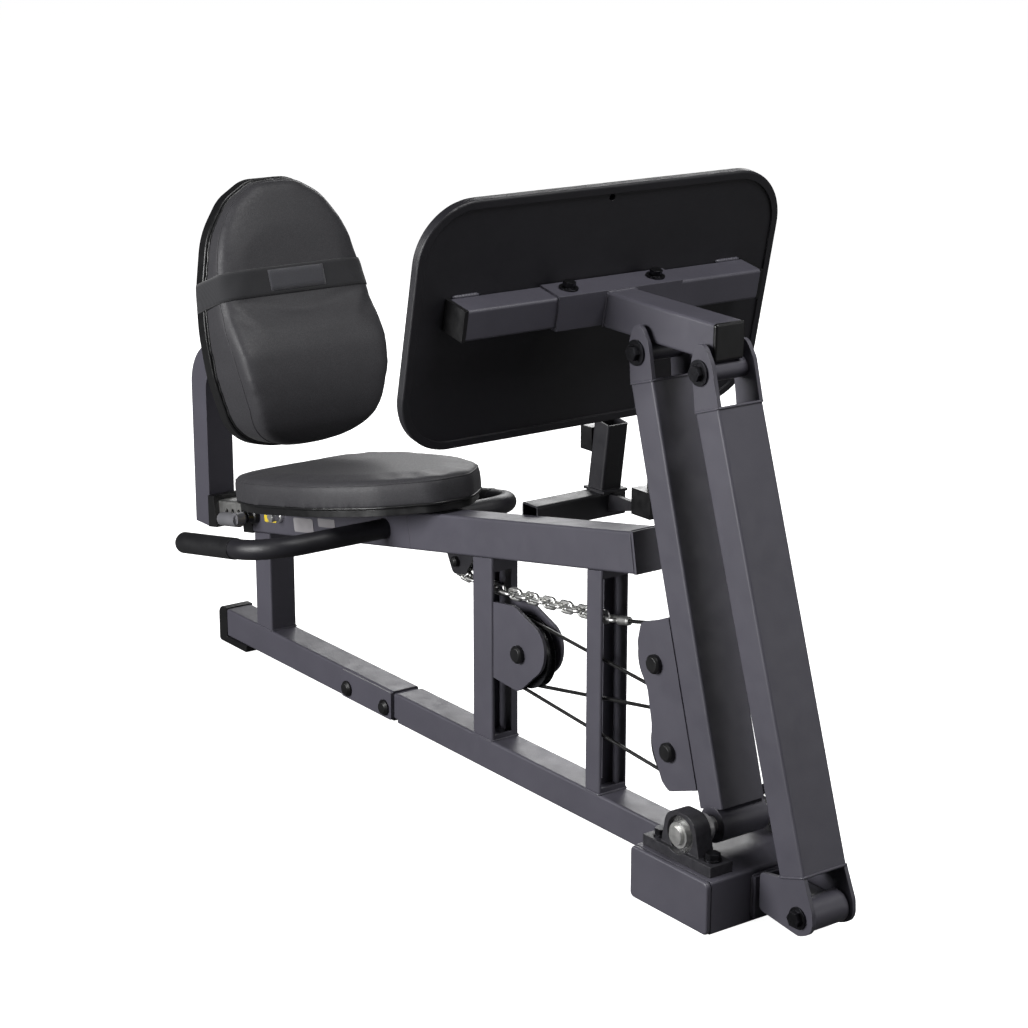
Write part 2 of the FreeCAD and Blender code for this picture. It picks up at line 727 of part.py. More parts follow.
# ---------------------------------------------------------------- pulleys, cheeks and chain guide
def pulley_profile(half_thick, groove_floor, groove_top, bore):
    """A sheave with a flared rope groove, a thinner web and a hub."""
    outer = size("Sizes.pulley_radius")
    floor = size("Sizes.cable_bend") - size("Sizes.cable_radius") - 0.4
    web = 0.35 * half_thick
    rim = floor - 7
    return [(bore, -half_thick), (16, -half_thick), (18, -web), (rim, -web), (rim + 2, -half_thick),
            (outer, -half_thick), (outer, -groove_top), (floor, -groove_floor), (floor, groove_floor),
            (outer, groove_top), (outer, half_thick), (rim + 2, half_thick), (rim, web), (18, web),
            (16, half_thick), (bore, half_thick)]


def bolt_line(label, centre, near, far, cap_radius, bore_radius):
    """A plain pivot bolt along Y with a round cap on its near end and a nut on its far end."""
    where = place(V(centre.x, near, centre.z), V(0, 1, 0), V(0, 0, 1))
    length = far - near
    profile = [(0, -9), (cap_radius - 3, -9), (cap_radius, -6), (cap_radius, 0), (bore_radius, 0),
               (bore_radius, length), (cap_radius - 2, length), (cap_radius - 2, length + 8), (0, length + 8)]
    return turned(label, profile, where, kept=False)


def make_frame_pulley():
    """The pulley in front of the mid upright, between two cheeks."""
    half = 8
    centre = FRAME_PULLEY
    where = place(centre, V(0, 1, 0), V(0, 0, 1))
    turned("frame_pulley", pulley_profile(half, 4.5, 7, 6.05), where)
    corners = [(UPRIGHT_FRONT, 284, 0), (139, 291, 34), (214, 262, 34), (213, 214, 48), (150, 160, 24),
               (UPRIGHT_FRONT, 165, 0)]
    cheeks = [side_plate("frame_cheek_0", corners, 5, -19.5, kept=False),
              side_plate("frame_cheek_1", corners, 5, 12.5, kept=False)]
    hole = rod("frame_cheek_hole", 6, 80, place(V(centre.x, -40, centre.z), V(0, 1, 0), V(0, 0, 1)))
    drilled = [cut("frame_cheek_drilled_%d" % number, cheek, hole, kept=False)
               for number, cheek in enumerate(cheeks)]
    group("frame_cheeks", drilled)
    return bolt_line("frame_pulley_bolt", centre, -22, 15, 13.5, 5.95)


def make_guide_pulley():
    """The small chain wheel under the rail, between two three-cornered plates."""
    centre = GUIDE_PULLEY
    where = place(centre, V(0, 1, 0), V(0, 0, 1))
    profile = [(5.05, -9), (17, -9), (19.5, -7), (12, -4.2), (12, 4.2), (19.5, 7), (17, 9), (5.05, 9)]
    turned("guide_pulley", profile, where)
    corners = [(-40, rail_bottom(-40), 0), (35, rail_bottom(35), 0), (8, 306, 8), (-24, 300, 10)]
    plates = [side_plate("guide_plate_0", corners, 4, centre.y - 13.5, kept=False),
              side_plate("guide_plate_1", corners, 4, centre.y + 13.5, kept=False)]
    hole = rod("guide_plate_hole", 5, 80, place(V(centre.x, -40, centre.z), V(0, 1, 0), V(0, 0, 1)))
    drilled = [cut("guide_plate_drilled_%d" % number, sheet_metal, hole, kept=False)
               for number, sheet_metal in enumerate(plates)]
    group("guide_plates", drilled)
    return bolt_line("guide_pulley_bolt", centre, centre.y - 15.5, centre.y + 15.5, 8, 4.95)


def arm_point(along, across):
    """A point of the rear arm's side face: along its length from the shaft, across its depth."""
    lean = math.radians(REAR_LEAN)
    direction = V(-math.sin(lean), 0, math.cos(lean))
    forward = V(math.cos(lean), 0, math.sin(lean))
    return REAR_PIVOT + direction * along + forward * across


def make_arm_pulleys():
    """Two pulleys behind the rear arm, between long cheeks welded to the arm."""
    for word, centre in (("upper", UPPER_PULLEY), ("lower", LOWER_PULLEY)):
        where = place(centre, V(0, 1, 0), V(0, 0, 1))
        turned(word + "_pulley", pulley_profile(11, 6, 9.5, 6.05), where)
    back = -size("Sizes.arm_deep") / 2
    top = arm_point(283, back)
    low = arm_point(45, back)
    corners = [(top.x, top.z, 0), (485, 365, 0), (455, 355, 12), (448, 326, 30), (453, 292, 40),
               (471, 263, 40), (481, 216, 30), (481, 187, 60), (505, 138, 20), (520, 128, 12),
               (low.x, low.z, 0)]
    wide = size("Sizes.arm_wide") / 2
    thick = size("Sizes.lug_thick")
    cheeks = []
    for side in (-1, 1):
        cheek = side_plate("arm_cheek_%d" % (side + 1), corners, thick, side * (wide - thick / 2), kept=False)
        holes = [rod("arm_cheek_hole_%d_%d" % (side + 1, number), 6, 100,
                     place(V(centre.x, -50, centre.z), V(0, 1, 0), V(0, 0, 1)))
                 for number, centre in enumerate((UPPER_PULLEY, LOWER_PULLEY))]
        space = fuse("arm_cheek_holes_%d" % (side + 1), holes, kept=False)
        cheeks.append(cut("arm_cheek_drilled_%d" % (side + 1), cheek, space, kept=False))
    group("arm_cheeks", cheeks)
    bolts = []
    spacers = []
    for number, centre in enumerate((UPPER_PULLEY, LOWER_PULLEY)):
        bolts.append(bolt_line("arm_pulley_bolt_%d" % number, centre, -wide, wide, 13.5, 5.95))
        inner = wide - thick
        for side, low_y, high_y in ((0, -inner, centre.y - 11.3), (1, centre.y + 11.3, inner)):
            start = place(V(centre.x, low_y, centre.z), V(0, 1, 0), V(0, 0, 1))
            spacers.append(washer("arm_spacer_%d_%d" % (number, side), 11, 6, high_y - low_y, start))
    group("arm_pulley_bolts", bolts + spacers)


# ---------------------------------------------------------------- linkage
REAR_LEAN = 16.0
FRONT_LEAN = 17.77


def lean_direction(degrees):
    return V(-math.sin(math.radians(degrees)), 0, math.cos(math.radians(degrees)))


def arm_tube(name, pivot, lean, low, high):
    start = pivot + lean_direction(lean) * low
    return tube(name, "Sizes.arm_deep", "Sizes.arm_wide", high - low,
                place(start, lean_direction(lean)), kept=False)


def lugs(label, corners, pivot, hole_radius):
    """A pair of side plates, flush with the arm's side faces, drilled for a pivot."""
    thick = size("Sizes.lug_thick")
    middle = size("Sizes.arm_wide") / 2 - thick / 2
    pair = []
    for side in (-1, 1):
        sheet_metal = side_plate("%s_%d" % (label, side + 1), corners, thick, side * middle, kept=False)
        hole = rod("%s_hole_%d" % (label, side + 1), hole_radius, 100,
                   place(V(pivot.x, -50, pivot.z), V(0, 1, 0), V(0, 0, 1)))
        pair.append(cut("%s_drilled_%d" % (label, side + 1), sheet_metal, hole, kept=False))
    return pair


def pivot_bolt(label, pivot, shank, washer_radius, flats):
    """A hex bolt through a pair of lugs, with a washer each side and a nut on the far side."""
    wide = size("Sizes.arm_wide") / 2
    near = place(V(pivot.x, -wide - 3, pivot.z), V(0, 1, 0), V(0, 0, 1))
    bolt = hex_bolt(label + "_screw", near, shank, 2 * wide + 6, flats)
    far = place(V(pivot.x, wide + 3, pivot.z), V(0, 1, 0), V(0, 0, 1))
    nut_blank = doc.addObject("Part::Prism", label + "_nut_blank")
    nut_blank.Polygon = 6
    nut_blank.Circumradius = flats / math.sqrt(3)
    nut_blank.Height = 9
    nut_blank.Placement = far
    washers = [washer(label + "_washer_0", washer_radius, size(shank), 3, near),
               washer(label + "_washer_1", washer_radius, size(shank), 3, lifted(far, -3))]
    return [bolt, nut_blank] + washers


def make_rear_arm():
    axis = place(V(REAR_PIVOT.x, -105, REAR_PIVOT.z), V(0, 1, 0), V(0, 0, 1))
    keep(rod("rear_shaft_rod", "Sizes.shaft_radius", 210, axis), "rear_shaft")
    sleeve = washer("rear_sleeve_ring", 25, "Sizes.shaft_radius", 80, lifted(axis, 65))

    lower = arm_tube("rear_arm_blank", REAR_PIVOT, REAR_LEAN, 21, 600)
    cope = rod("rear_arm_cope", 25, 210, axis)
    slot_frame = place(arm_point(0, 0), lean_direction(REAR_LEAN))
    pulley_slot = block("pulley_slot", (-30, -32, 35), (-8, -4, 262), slot_frame)
    space = fuse("rear_arm_space", [cope, pulley_slot], kept=False)
    slotted = cut("rear_arm_slotted", lower, space, kept=False)
    fuse("rear_arm", [slotted, sleeve])

    back = arm_point(600, -24)
    front = arm_point(600, 24)
    pair = lugs("rear_arm_lug", [(back.x, back.z, 0), (front.x, front.z, 0), (462, 742, 24), (447, 764, 14),
                                 (429, 764, 14), (421, 738, 24)], HEAD_PIVOT, "Sizes.pivot_bolt")
    group("rear_arm_lugs", pair)


def make_front_arm():
    blank = arm_tube("front_arm_blank", FRONT_PIVOT, FRONT_LEAN, 53, 667)
    keep(blank, "front_arm")
    direction = lean_direction(FRONT_LEAN)
    forward = V(direction.z, 0, -direction.x)
    back = FRONT_PIVOT + direction * 667 - forward * 24
    front = FRONT_PIVOT + direction * 667 + forward * 24
    pair = lugs("front_arm_lug", [(back.x, back.z, 0), (front.x, front.z, 0), (590, 738, 24), (575, 760, 14),
                                  (556, 760, 14), (549, 734, 24)], OPEN_PIVOT, "Sizes.pivot_bolt")
    back = FRONT_PIVOT + direction * 53 - forward * 24
    front = FRONT_PIVOT + direction * 53 + forward * 24
    feet = lugs("front_arm_foot", [(710, 24, 8), (766, 16.5, 0), (787, 13.9, 20), (813, 26, 22),
                                   (811, 55, 20), (front.x, front.z, 0), (back.x, back.z, 0), (710, 77, 6)],
                FRONT_PIVOT, "Sizes.pivot_bolt")
    group("front_arm_lugs", pair + feet)


def make_ground_pivot():
    """A tongue from the box's front face that carries the front arm's lower pivot."""
    centre = FRONT_PIVOT
    where = place(V(centre.x, -30, centre.z), V(0, 1, 0), V(0, 0, 1))
    ring = rod("ground_pivot_ring", "Sizes.ground_pivot_outer", 60, where)
    tongue = block("ground_pivot_tongue", (BOX_FRONT_X, -22, centre.z - 17), (centre.x, 22, centre.z + 17))
    flange = block("ground_pivot_flange", (BOX_FRONT_X, -40, 8), (BOX_FRONT_X + 8, 40, 67))
    solid = fuse("ground_pivot_solid", [ring, tongue, flange], kept=False)
    cut("ground_pivot", solid, rod("ground_pivot_bore", "Sizes.pivot_bolt + Sizes.running_gap", 60, where))


def pillow_block(number, middle_y):
    """Foot and hump of one housing, bored for the bearing insert and for two bolts."""
    centre = REAR_PIVOT
    top = size("Sizes.box_high")
    foot = block("pillow_foot_%d" % number, (centre.x - 70, middle_y - 19, top),
                 (centre.x + 70, middle_y + 19, top + 15))
    hump = side_plate("pillow_hump_%d" % number,
                      [(centre.x - 42, top, 0), (centre.x + 42, top, 0), (centre.x + 33, centre.z + 6, 12),
                       (centre.x + 30, centre.z + 31, 26), (centre.x - 30, centre.z + 31, 26),
                       (centre.x - 33, centre.z + 6, 12)], 26, middle_y, kept=False)
    solid = fuse("pillow_solid_%d" % number, [foot, hump], kept=False)
    across = place(V(centre.x, middle_y - 30, centre.z), V(0, 1, 0), V(0, 0, 1))
    holes = [rod("pillow_bore_%d" % number, "Sizes.bearing_radius", 60, across)]
    for side in (-1, 1):
        foot_hole = place(V(centre.x + side * 52.5, middle_y, top - 5), V(0, 0, 1))
        holes.append(rod("pillow_hole_%d_%d" % (number, side + 1), 6.5, 40, foot_hole))
    return cut("pillow_housing_%d" % number, solid, fuse("pillow_space_%d" % number, holes, kept=False),
               kept=False)


def make_bearings():
    centre = REAR_PIVOT
    inner_radius = 18
    housings = []
    outer_rings = []
    inner_rings = []
    bolts = []
    for number, middle_y in enumerate((-83, 83)):
        housings.append(pillow_block(number, middle_y))
        outer_place = place(V(centre.x, middle_y - 8, centre.z), V(0, 1, 0), V(0, 0, 1))
        outer_rings.append(washer("outer_ring_%d" % number, "Sizes.bearing_radius",
                                  "%d + Sizes.running_gap" % inner_radius, 16, outer_place))
        inner_place = place(V(centre.x, middle_y - 17, centre.z), V(0, 1, 0), V(0, 0, 1))
        race = rod("inner_race_%d" % number, inner_radius, 34, inner_place)
        toward_arm = 34 if middle_y < 0 else -14
        collar = rod("locking_collar_%d" % number, 19.5, 14, lifted(inner_place, toward_arm))
        blank = fuse("inner_blank_%d" % number, [race, collar], kept=False)
        bore = rod("inner_bore_%d" % number, "Sizes.shaft_radius", 80, lifted(inner_place, -20))
        inner_rings.append(cut("inner_ring_%d" % number, blank, bore, kept=False))
        for side in (-1, 1):
            foot_top = V(centre.x + side * 52.5, middle_y, size("Sizes.box_high") + 15)
            down = place(foot_top + V(0, 0, 2.5), V(0, 0, -1))
            name = "pillow_bolt_%d_%d" % (number, side + 1)
            head = hex_bolt(name, down, 5.5, 17.5, 18)
            ring = washer(name + "_washer", 12, 5.5, 2.5, place(foot_top, V(0, 0, 1)))
            bolts += [head, ring]
    group("pillow_housings", housings)
    group("bearing_outer_rings", outer_rings)
    group("bearing_inner_rings", inner_rings)
    group("pillow_bolts", bolts)


def make_pivot_bolts():
    shank = "Sizes.pivot_bolt"
    group("head_pivot_bolt", pivot_bolt("head_pivot", HEAD_PIVOT, shank, 17.5, 19))
    group("front_arm_bolts", pivot_bolt("open_pivot", OPEN_PIVOT, shank, 17.5, 19)
          + pivot_bolt("ground_pivot_pin", FRONT_PIVOT, shank, 15, 19))


# ---------------------------------------------------------------- head and foot plate
PLATE_TILT = 12
PLATE_CORNER = V(357.8, 0, 793.8)
# The plate's own frame: x towards the user, z up the plate.
PLATE_FRAME = FreeCAD.Placement(PLATE_CORNER, FreeCAD.Rotation(V(0, 0, 1), 180)).multiply(
    FreeCAD.Placement(V(0, 0, 0), FreeCAD.Rotation(V(0, 1, 0), -PLATE_TILT)))
HEAD_SLOPE = 1.86


def make_head():
    """The beam that joins both arms' tops and carries the foot plate."""
    slope = math.radians(HEAD_SLOPE)
    direction = V(math.cos(slope), 0, -math.sin(slope))
    downward = V(-math.sin(slope), 0, -math.cos(slope))
    start = PLATE_CORNER + downward * HALF - direction * 20
    blank = tube("head_beam_blank", SIDE, SIDE, 224.6 - 5.5 + 20, place(start, direction), kept=False)
    plate_side = block("plate_side", (0, -60, -120), (120, 60, 60), PLATE_FRAME)
    cut("head_beam", blank, plate_side)
    cap_place = place(PLATE_CORNER + downward * HALF + direction * (224.6 - 5.5), direction)
    cap = new_body("beam_cap")
    sketch = new_sketch(cap, "XY_Plane")
    centred_rectangle(sketch, SIDE, SIDE, "cap")
    feature = pad(cap, sketch, 5.5)
    doc.recompute()
    corners = fillet(cap, feature, edges_along(feature.Shape, V(0, 0, 1)), 4)
    doc.recompute()
    fillet(cap, corners, flat_faces(corners.Shape, V(0, 0, 1)), 3)
    cap.Placement = cap_place
    under_beam = 64
    pivots = []
    for word, pivot, bore in (("head", HEAD_PIVOT, "Sizes.pivot_bolt + Sizes.running_gap"),
                              ("open", OPEN_PIVOT, "Sizes.open_pivot_bore")):
        where = place(V(pivot.x, -under_beam / 2, pivot.z), V(0, 1, 0), V(0, 0, 1))
        ring = washer(word + "_pivot_ring", "Sizes.pivot_outer", bore, under_beam, where)
        pivots.append(ring)
    group("head_pivot_tubes", pivots)
    return cap


PLATE_TOP = 134


def plate_blank(name, inset, low, high):
    """A rounded sheet of the foot plate, between two distances towards the user."""
    body = new_body(name)
    sketch = new_sketch(body, "YZ_Plane")
    half = size("Sizes.plate_wide") / 2 - inset
    top = PLATE_TOP - inset
    bottom = PLATE_TOP - size("Sizes.plate_high") + inset
    radius = 85 - inset
    outline(sketch, [(-half, bottom, radius), (half, bottom, radius), (half, top, radius),
                     (-half, top, radius)])
    feature = pad(body, sketch, high - low)
    body.Placement = PLATE_FRAME.multiply(FreeCAD.Placement(V(low, 0, 0), FreeCAD.Rotation()))
    return body, feature


def make_foot_plate(beam_cap):
    """The plate, hung on a cross tube that a welded sleeve holds under the beam."""
    tube_rear = 3
    tube_front = tube_rear + size("Sizes.cross_tube_deep")
    rim = tube_front - 3
    front = rim + size("Sizes.plate_thick")
    body, feature = plate_blank("foot_plate_blank", 0, rim, front)
    doc.recompute()
    fillet(body, feature, flat_faces(feature.Shape, V(1, 0, 0), both=True), 3)
    tray, _ = plate_blank("foot_plate_tray", size("Sizes.plate_rim"), rim - 10, tube_front)
    hole_start = PLATE_FRAME.multVec(V(rim - 10, 0, PLATE_TOP - size("Sizes.plate_rim") - 6))
    towards_user = PLATE_FRAME.Rotation.multVec(V(1, 0, 0))
    hole = rod("foot_plate_hole", 5, 40, place(hole_start, towards_user))
    space = fuse("foot_plate_space", [tray, hole], kept=False)
    cut("foot_plate", body, space)
    mat, _ = plate_blank("foot_plate_mat", 14, front, front + 3)
    keep(mat, "foot_plate_mat")

    side = size("Sizes.cross_tube_side")
    reach = 252
    sleeve_long = 106
    start = PLATE_FRAME.multVec(V((tube_rear + tube_front) / 2, -reach, -side / 2))
    tube("plate_cross_tube", "Sizes.cross_tube_side", "Sizes.cross_tube_deep", 2 * reach,
         FreeCAD.Placement(start, FreeCAD.Rotation(PLATE_FRAME.Rotation.multVec(V(0, 0, 1)), V(0, 0, 0),
                                                   PLATE_FRAME.Rotation.multVec(V(0, 1, 0)), "ZXY")))
    caps = []
    for word, y in (("near", reach), ("far", -reach - 6)):
        caps.append(block("cross_cap_" + word, (tube_rear, y, -44), (tube_front, y + 6, 0), PLATE_FRAME))
    group("head_caps", [beam_cap] + caps)
    outer = block("sleeve_outer", (0, -sleeve_long, -47), (rim, sleeve_long, 3), PLATE_FRAME)
    inner = block("sleeve_inner", (tube_rear, -sleeve_long, -44), (rim, sleeve_long, 0), PLATE_FRAME)
    cut("plate_sleeve", outer, inner)
    bolts = []
    for number, y in enumerate((-75, 75)):
        top = PLATE_FRAME.multVec(V(23, y, 3))
        down = PLATE_FRAME.Rotation.multVec(V(0, 0, -1))
        lower = FreeCAD.Placement(top - down * 2.5, place(top, down).Rotation)
        head = hex_bolt("sleeve_bolt_%d" % number, lower, 5, 2.5, 16)
        ring = washer("sleeve_washer_%d" % number, 13.5, 5, 2.5, place(top, down * -1))
        bolts += [head, ring]
    group("sleeve_bolts", bolts)


# ---------------------------------------------------------------- cable and chain
def crossed_tangent(first, second, radius, turn):
    """Ends of a straight run that crosses between two circles of one radius in the XZ plane."""
    gap = V(second.x - first.x, 0, second.z - first.z)
    along = gap * (1 / gap.Length)
    across = V(-along.z, 0, along.x)
    lean = math.asin(2 * radius / gap.Length)
    normal = across * math.cos(lean) * turn + along * math.sin(lean)
    return first + normal * radius, second - normal * radius


def tangent_from(point, centre, radius, side):
    """Where the straight run from a point touches a circle in the XZ plane."""
    gap = V(centre.x - point.x, 0, centre.z - point.z)
    length = gap.Length
    angle = math.asin(radius / length)
    along = gap * (1 / length)
    run = math.sqrt(length * length - radius * radius)
    direction = V(along.x * math.cos(angle) - side * along.z * math.sin(angle), 0,
                  along.z * math.cos(angle) + side * along.x * math.sin(angle))
    return V(point.x, centre.y, point.z) + direction * run


def at_radius(centre, towards, radius):
    """A point of a circle in the XZ plane, on the side of a direction."""
    outward = V(towards.x, 0, towards.z)
    return centre + outward.normalize() * radius


CABLE_END = V(372, -8, 329)
CABLE_ANCHOR = V(101, -13.5, 170)


def make_cable():
    """One cable, held all the way: chain end, upper, frame and lower pulleys, frame anchor."""
    bend = size("Sizes.cable_bend")
    radius = size("Sizes.cable_radius")
    up_on = tangent_from(CABLE_END, UPPER_PULLEY, bend, 1)
    up_off, frame_on = crossed_tangent(UPPER_PULLEY, FRAME_PULLEY, bend, 1)
    frame_off, low_on = crossed_tangent(FRAME_PULLEY, LOWER_PULLEY, bend, -1)
    low_off = tangent_from(CABLE_ANCHOR, LOWER_PULLEY, bend, -1)
    front = V(1, 0, 0)
    edges = [Part.LineSegment(CABLE_END, up_on),
             Part.Arc(up_on, at_radius(UPPER_PULLEY, front, bend), up_off),
             Part.LineSegment(up_off, frame_on),
             Part.Arc(frame_on, at_radius(FRAME_PULLEY, front * -1, bend) + V(0, 1.5, 0), frame_off),
             Part.LineSegment(frame_off, low_on),
             Part.Arc(low_on, at_radius(LOWER_PULLEY, front, bend), low_off),
             Part.LineSegment(low_off, CABLE_ANCHOR)]
    path = Part.Wire([edge.toShape() for edge in edges])
    for edge in edges:
        if edge.TypeId == "Part::GeomArcOfCircle":
            print("cable bend radius %.1f" % edge.Radius)
    for point in (CABLE_END, up_on, up_off, frame_on, frame_off, low_on, low_off, CABLE_ANCHOR):
        print("cable point", [round(value, 1) for value in point])
    ring = Part.Wire(Part.Circle(CABLE_END, up_on - CABLE_END, radius).toShape())
    cable = doc.addObject("Part::Feature", "cable")
    cable.Shape = path.makePipeShell([ring], True, False)
    expected = math.pi * radius * radius * path.Length
    print("cable length %.0f, volume ratio %.4f" % (path.Length, cable.Shape.Volume / expected))
    keep(cable, "cable")
    swivel = turned("cable_eye_body", [(radius + 0.1, 0), (6.5, 0), (6.5, 22), (4, 25), (radius + 0.1, 25)],
                    place(CABLE_END + (up_on - CABLE_END).normalize() * -1, up_on - CABLE_END), kept=False)
    anchor_start = V(UPRIGHT_FRONT, CABLE_ANCHOR.y, CABLE_ANCHOR.z + 1)
    stud = rod("cable_anchor_rod", 3.2, CABLE_ANCHOR.x - UPRIGHT_FRONT - 0.4, place(anchor_start, V(1, 0, 0)))
    group("cable_fittings", [swivel, stud])


def make_chain():
    """Short links from inside the rail, round the guide wheel and forward to the cable's clip."""
    centre = GUIDE_PULLEY
    wheel = 25
    pitch = size("Sizes.chain_pitch")
    wire = size("Sizes.chain_wire")
    knee = V(104, -2, 298.6)
    end = CABLE_END + V(-9, 0.3, -1.2)

    lead = 35

    def point(distance):
        quarter = wheel * math.pi / 2
        if distance < lead:
            return V(centre.x - wheel, centre.y, centre.z + lead - distance)
        if distance < lead + quarter:
            angle = (distance - lead) / wheel
            return V(centre.x - wheel * math.cos(angle), centre.y, centre.z - wheel * math.sin(angle))
        bottom = V(centre.x, centre.y, centre.z - wheel)
        first = knee - bottom
        travelled = distance - lead - quarter
        if travelled < first.Length:
            return bottom + first.normalize() * travelled
        return knee + (end - knee).normalize() * (travelled - (knee - bottom).Length)

    joints = [point(0)]
    distance = 0
    while joints[-1].x < end.x - 0.5 * pitch:
        while point(distance).distanceToPoint(joints[-1]) < pitch:
            distance += 0.05
        joints.append(point(distance))
    inside = (pitch + 0.5) / 2 + wire
    half_wide = size("Sizes.chain_half_wide") - wire
    straight = inside - half_wide
    edges = [Part.LineSegment(V(half_wide, 0, -straight), V(half_wide, 0, straight)),
             Part.Arc(V(half_wide, 0, straight), V(0, 0, inside), V(-half_wide, 0, straight)),
             Part.LineSegment(V(-half_wide, 0, straight), V(-half_wide, 0, -straight)),
             Part.Arc(V(-half_wide, 0, -straight), V(0, 0, -inside), V(half_wide, 0, -straight))]
    loop = Part.Wire([edge.toShape() for edge in edges])
    ring = Part.Wire(Part.Circle(V(half_wide, 0, -straight), V(0, 0, 1), wire).toShape())
    link = loop.makePipeShell([ring], True, False)
    links = []
    for number, (start, finish) in enumerate(zip(joints, joints[1:])):
        turned_link = link.copy()
        across = V(0, 1, 0) if number % 2 else (finish - start).cross(V(0, 1, 0))
        turned_link.Placement = place((start + finish) * 0.5, finish - start, across)
        links.append(turned_link)
    print("chain links", len(links), "last joint", joints[-1])
    chain = doc.addObject("Part::Feature", "chain")
    chain.Shape = Part.makeCompound(links)
    keep(chain, "chain")


# ---------------------------------------------------------------- side frame on the far side
def make_side_frame():
    """The short frame on the far side that ties the station to its host machine."""
    near = HALF
    beam_top = 434
    beam_place = place(V(115, near, beam_top - 19), V(0, 1, 0), V(0, 0, 1))
    beam = tube("side_beam", "38", "38", 165, beam_place, kept=False)
    lean = V(0.15, 0, 1).normalize()
    post = tube("side_post", "36", "38", 110, place(V(112, 166, beam_top - 1) + lean, lean), wall="2.5",
                kept=False)
    foot = block("side_post_foot", (90, 144, beam_top), (140, 189, beam_top + 4))
    gusset = side_plate("side_gusset", [(134, beam_top - 30, 0), (205, beam_top - 12, 4),
                                        (205, beam_top - 2, 4), (134, beam_top - 2, 0)], 8, 162, kept=False)
    fuse("side_frame", [beam, post, foot, gusset])
    bumper = block("side_bumper", (74, 150, 492), (101, 184, 529))
    end_block = block("side_end_block", (205, 144, beam_top - 14), (248, 182, beam_top + 26))
    knob = turned("side_knob", [(0, 0), (4, 0), (4, 62), (11, 66), (14, 76), (11, 86), (0, 90)],
                  place(V(224, 163, beam_top + 26), V(0, 0, 1)), kept=False)
    group("side_fittings", [bumper, end_block, knob])


# ---------------------------------------------------------------- run
make_base()
make_uprights()
make_rail()
make_handles()
make_seat()
make_back()
make_pull_pin()
make_fittings()
group("frame_pulley_bolts", [make_frame_pulley(), make_guide_pulley()])
make_bearings()
make_ground_pivot()
make_rear_arm()
make_front_arm()
make_arm_pulleys()
make_foot_plate(make_head())
make_pivot_bolts()
make_cable()
make_chain()
make_side_frame()
doc.recompute()

for thing in doc.Objects:
    if "Invalid" in thing.State or "Error" in thing.State:
        raise RuntimeError("%s failed: %s" % (thing.Label, thing.State))
labels = [thing.Label for thing in parts]
if len(set(labels)) != len(labels):
    raise RuntimeError("two sub-parts share a label")
for thing in parts:
    if thing.Shape.isNull() or not thing.Shape.isValid():
        raise RuntimeError("%s has a bad shape" % thing.Label)

os.makedirs("parts", exist_ok=True)
for thing in parts:
    thing.Shape.exportStep("parts/%s.step" % thing.Label)
print(len(parts), "sub-parts")
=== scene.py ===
"""Looks of a leg-press station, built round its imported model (metres, +Z up)."""
import json
import math
import random

import bmesh
import bpy
from mathutils import Matrix, Vector
from mathutils.bvhtree import BVHTree


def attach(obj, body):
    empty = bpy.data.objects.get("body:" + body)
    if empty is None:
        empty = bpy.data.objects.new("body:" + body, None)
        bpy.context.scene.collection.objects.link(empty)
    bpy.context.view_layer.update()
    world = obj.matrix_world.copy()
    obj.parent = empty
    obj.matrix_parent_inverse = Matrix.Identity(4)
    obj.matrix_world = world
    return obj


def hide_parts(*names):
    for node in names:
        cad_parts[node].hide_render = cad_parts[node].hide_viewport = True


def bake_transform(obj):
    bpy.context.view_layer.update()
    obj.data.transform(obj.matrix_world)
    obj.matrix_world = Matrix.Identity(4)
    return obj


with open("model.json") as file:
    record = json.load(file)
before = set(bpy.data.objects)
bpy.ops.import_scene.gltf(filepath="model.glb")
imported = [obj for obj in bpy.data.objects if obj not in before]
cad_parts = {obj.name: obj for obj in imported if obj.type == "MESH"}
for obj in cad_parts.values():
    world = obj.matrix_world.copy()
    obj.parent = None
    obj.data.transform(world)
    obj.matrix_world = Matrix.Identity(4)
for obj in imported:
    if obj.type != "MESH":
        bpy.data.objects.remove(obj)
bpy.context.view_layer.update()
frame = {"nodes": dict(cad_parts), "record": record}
NODES = frame["nodes"]

# ---------------------------------------------------------------- shared places
RAIL_ANGLE = math.atan(0.178)
RAIL_FRAME = Matrix.Translation((0, 0, 0.3973)) @ Matrix.Rotation(-RAIL_ANGLE, 4, "Y")
BACK_LEAN = math.radians(8.96)
BACK_FRAME = Matrix.Translation((-0.493, 0, 0.4185)) @ Matrix.Rotation(-BACK_LEAN, 4, "Y")


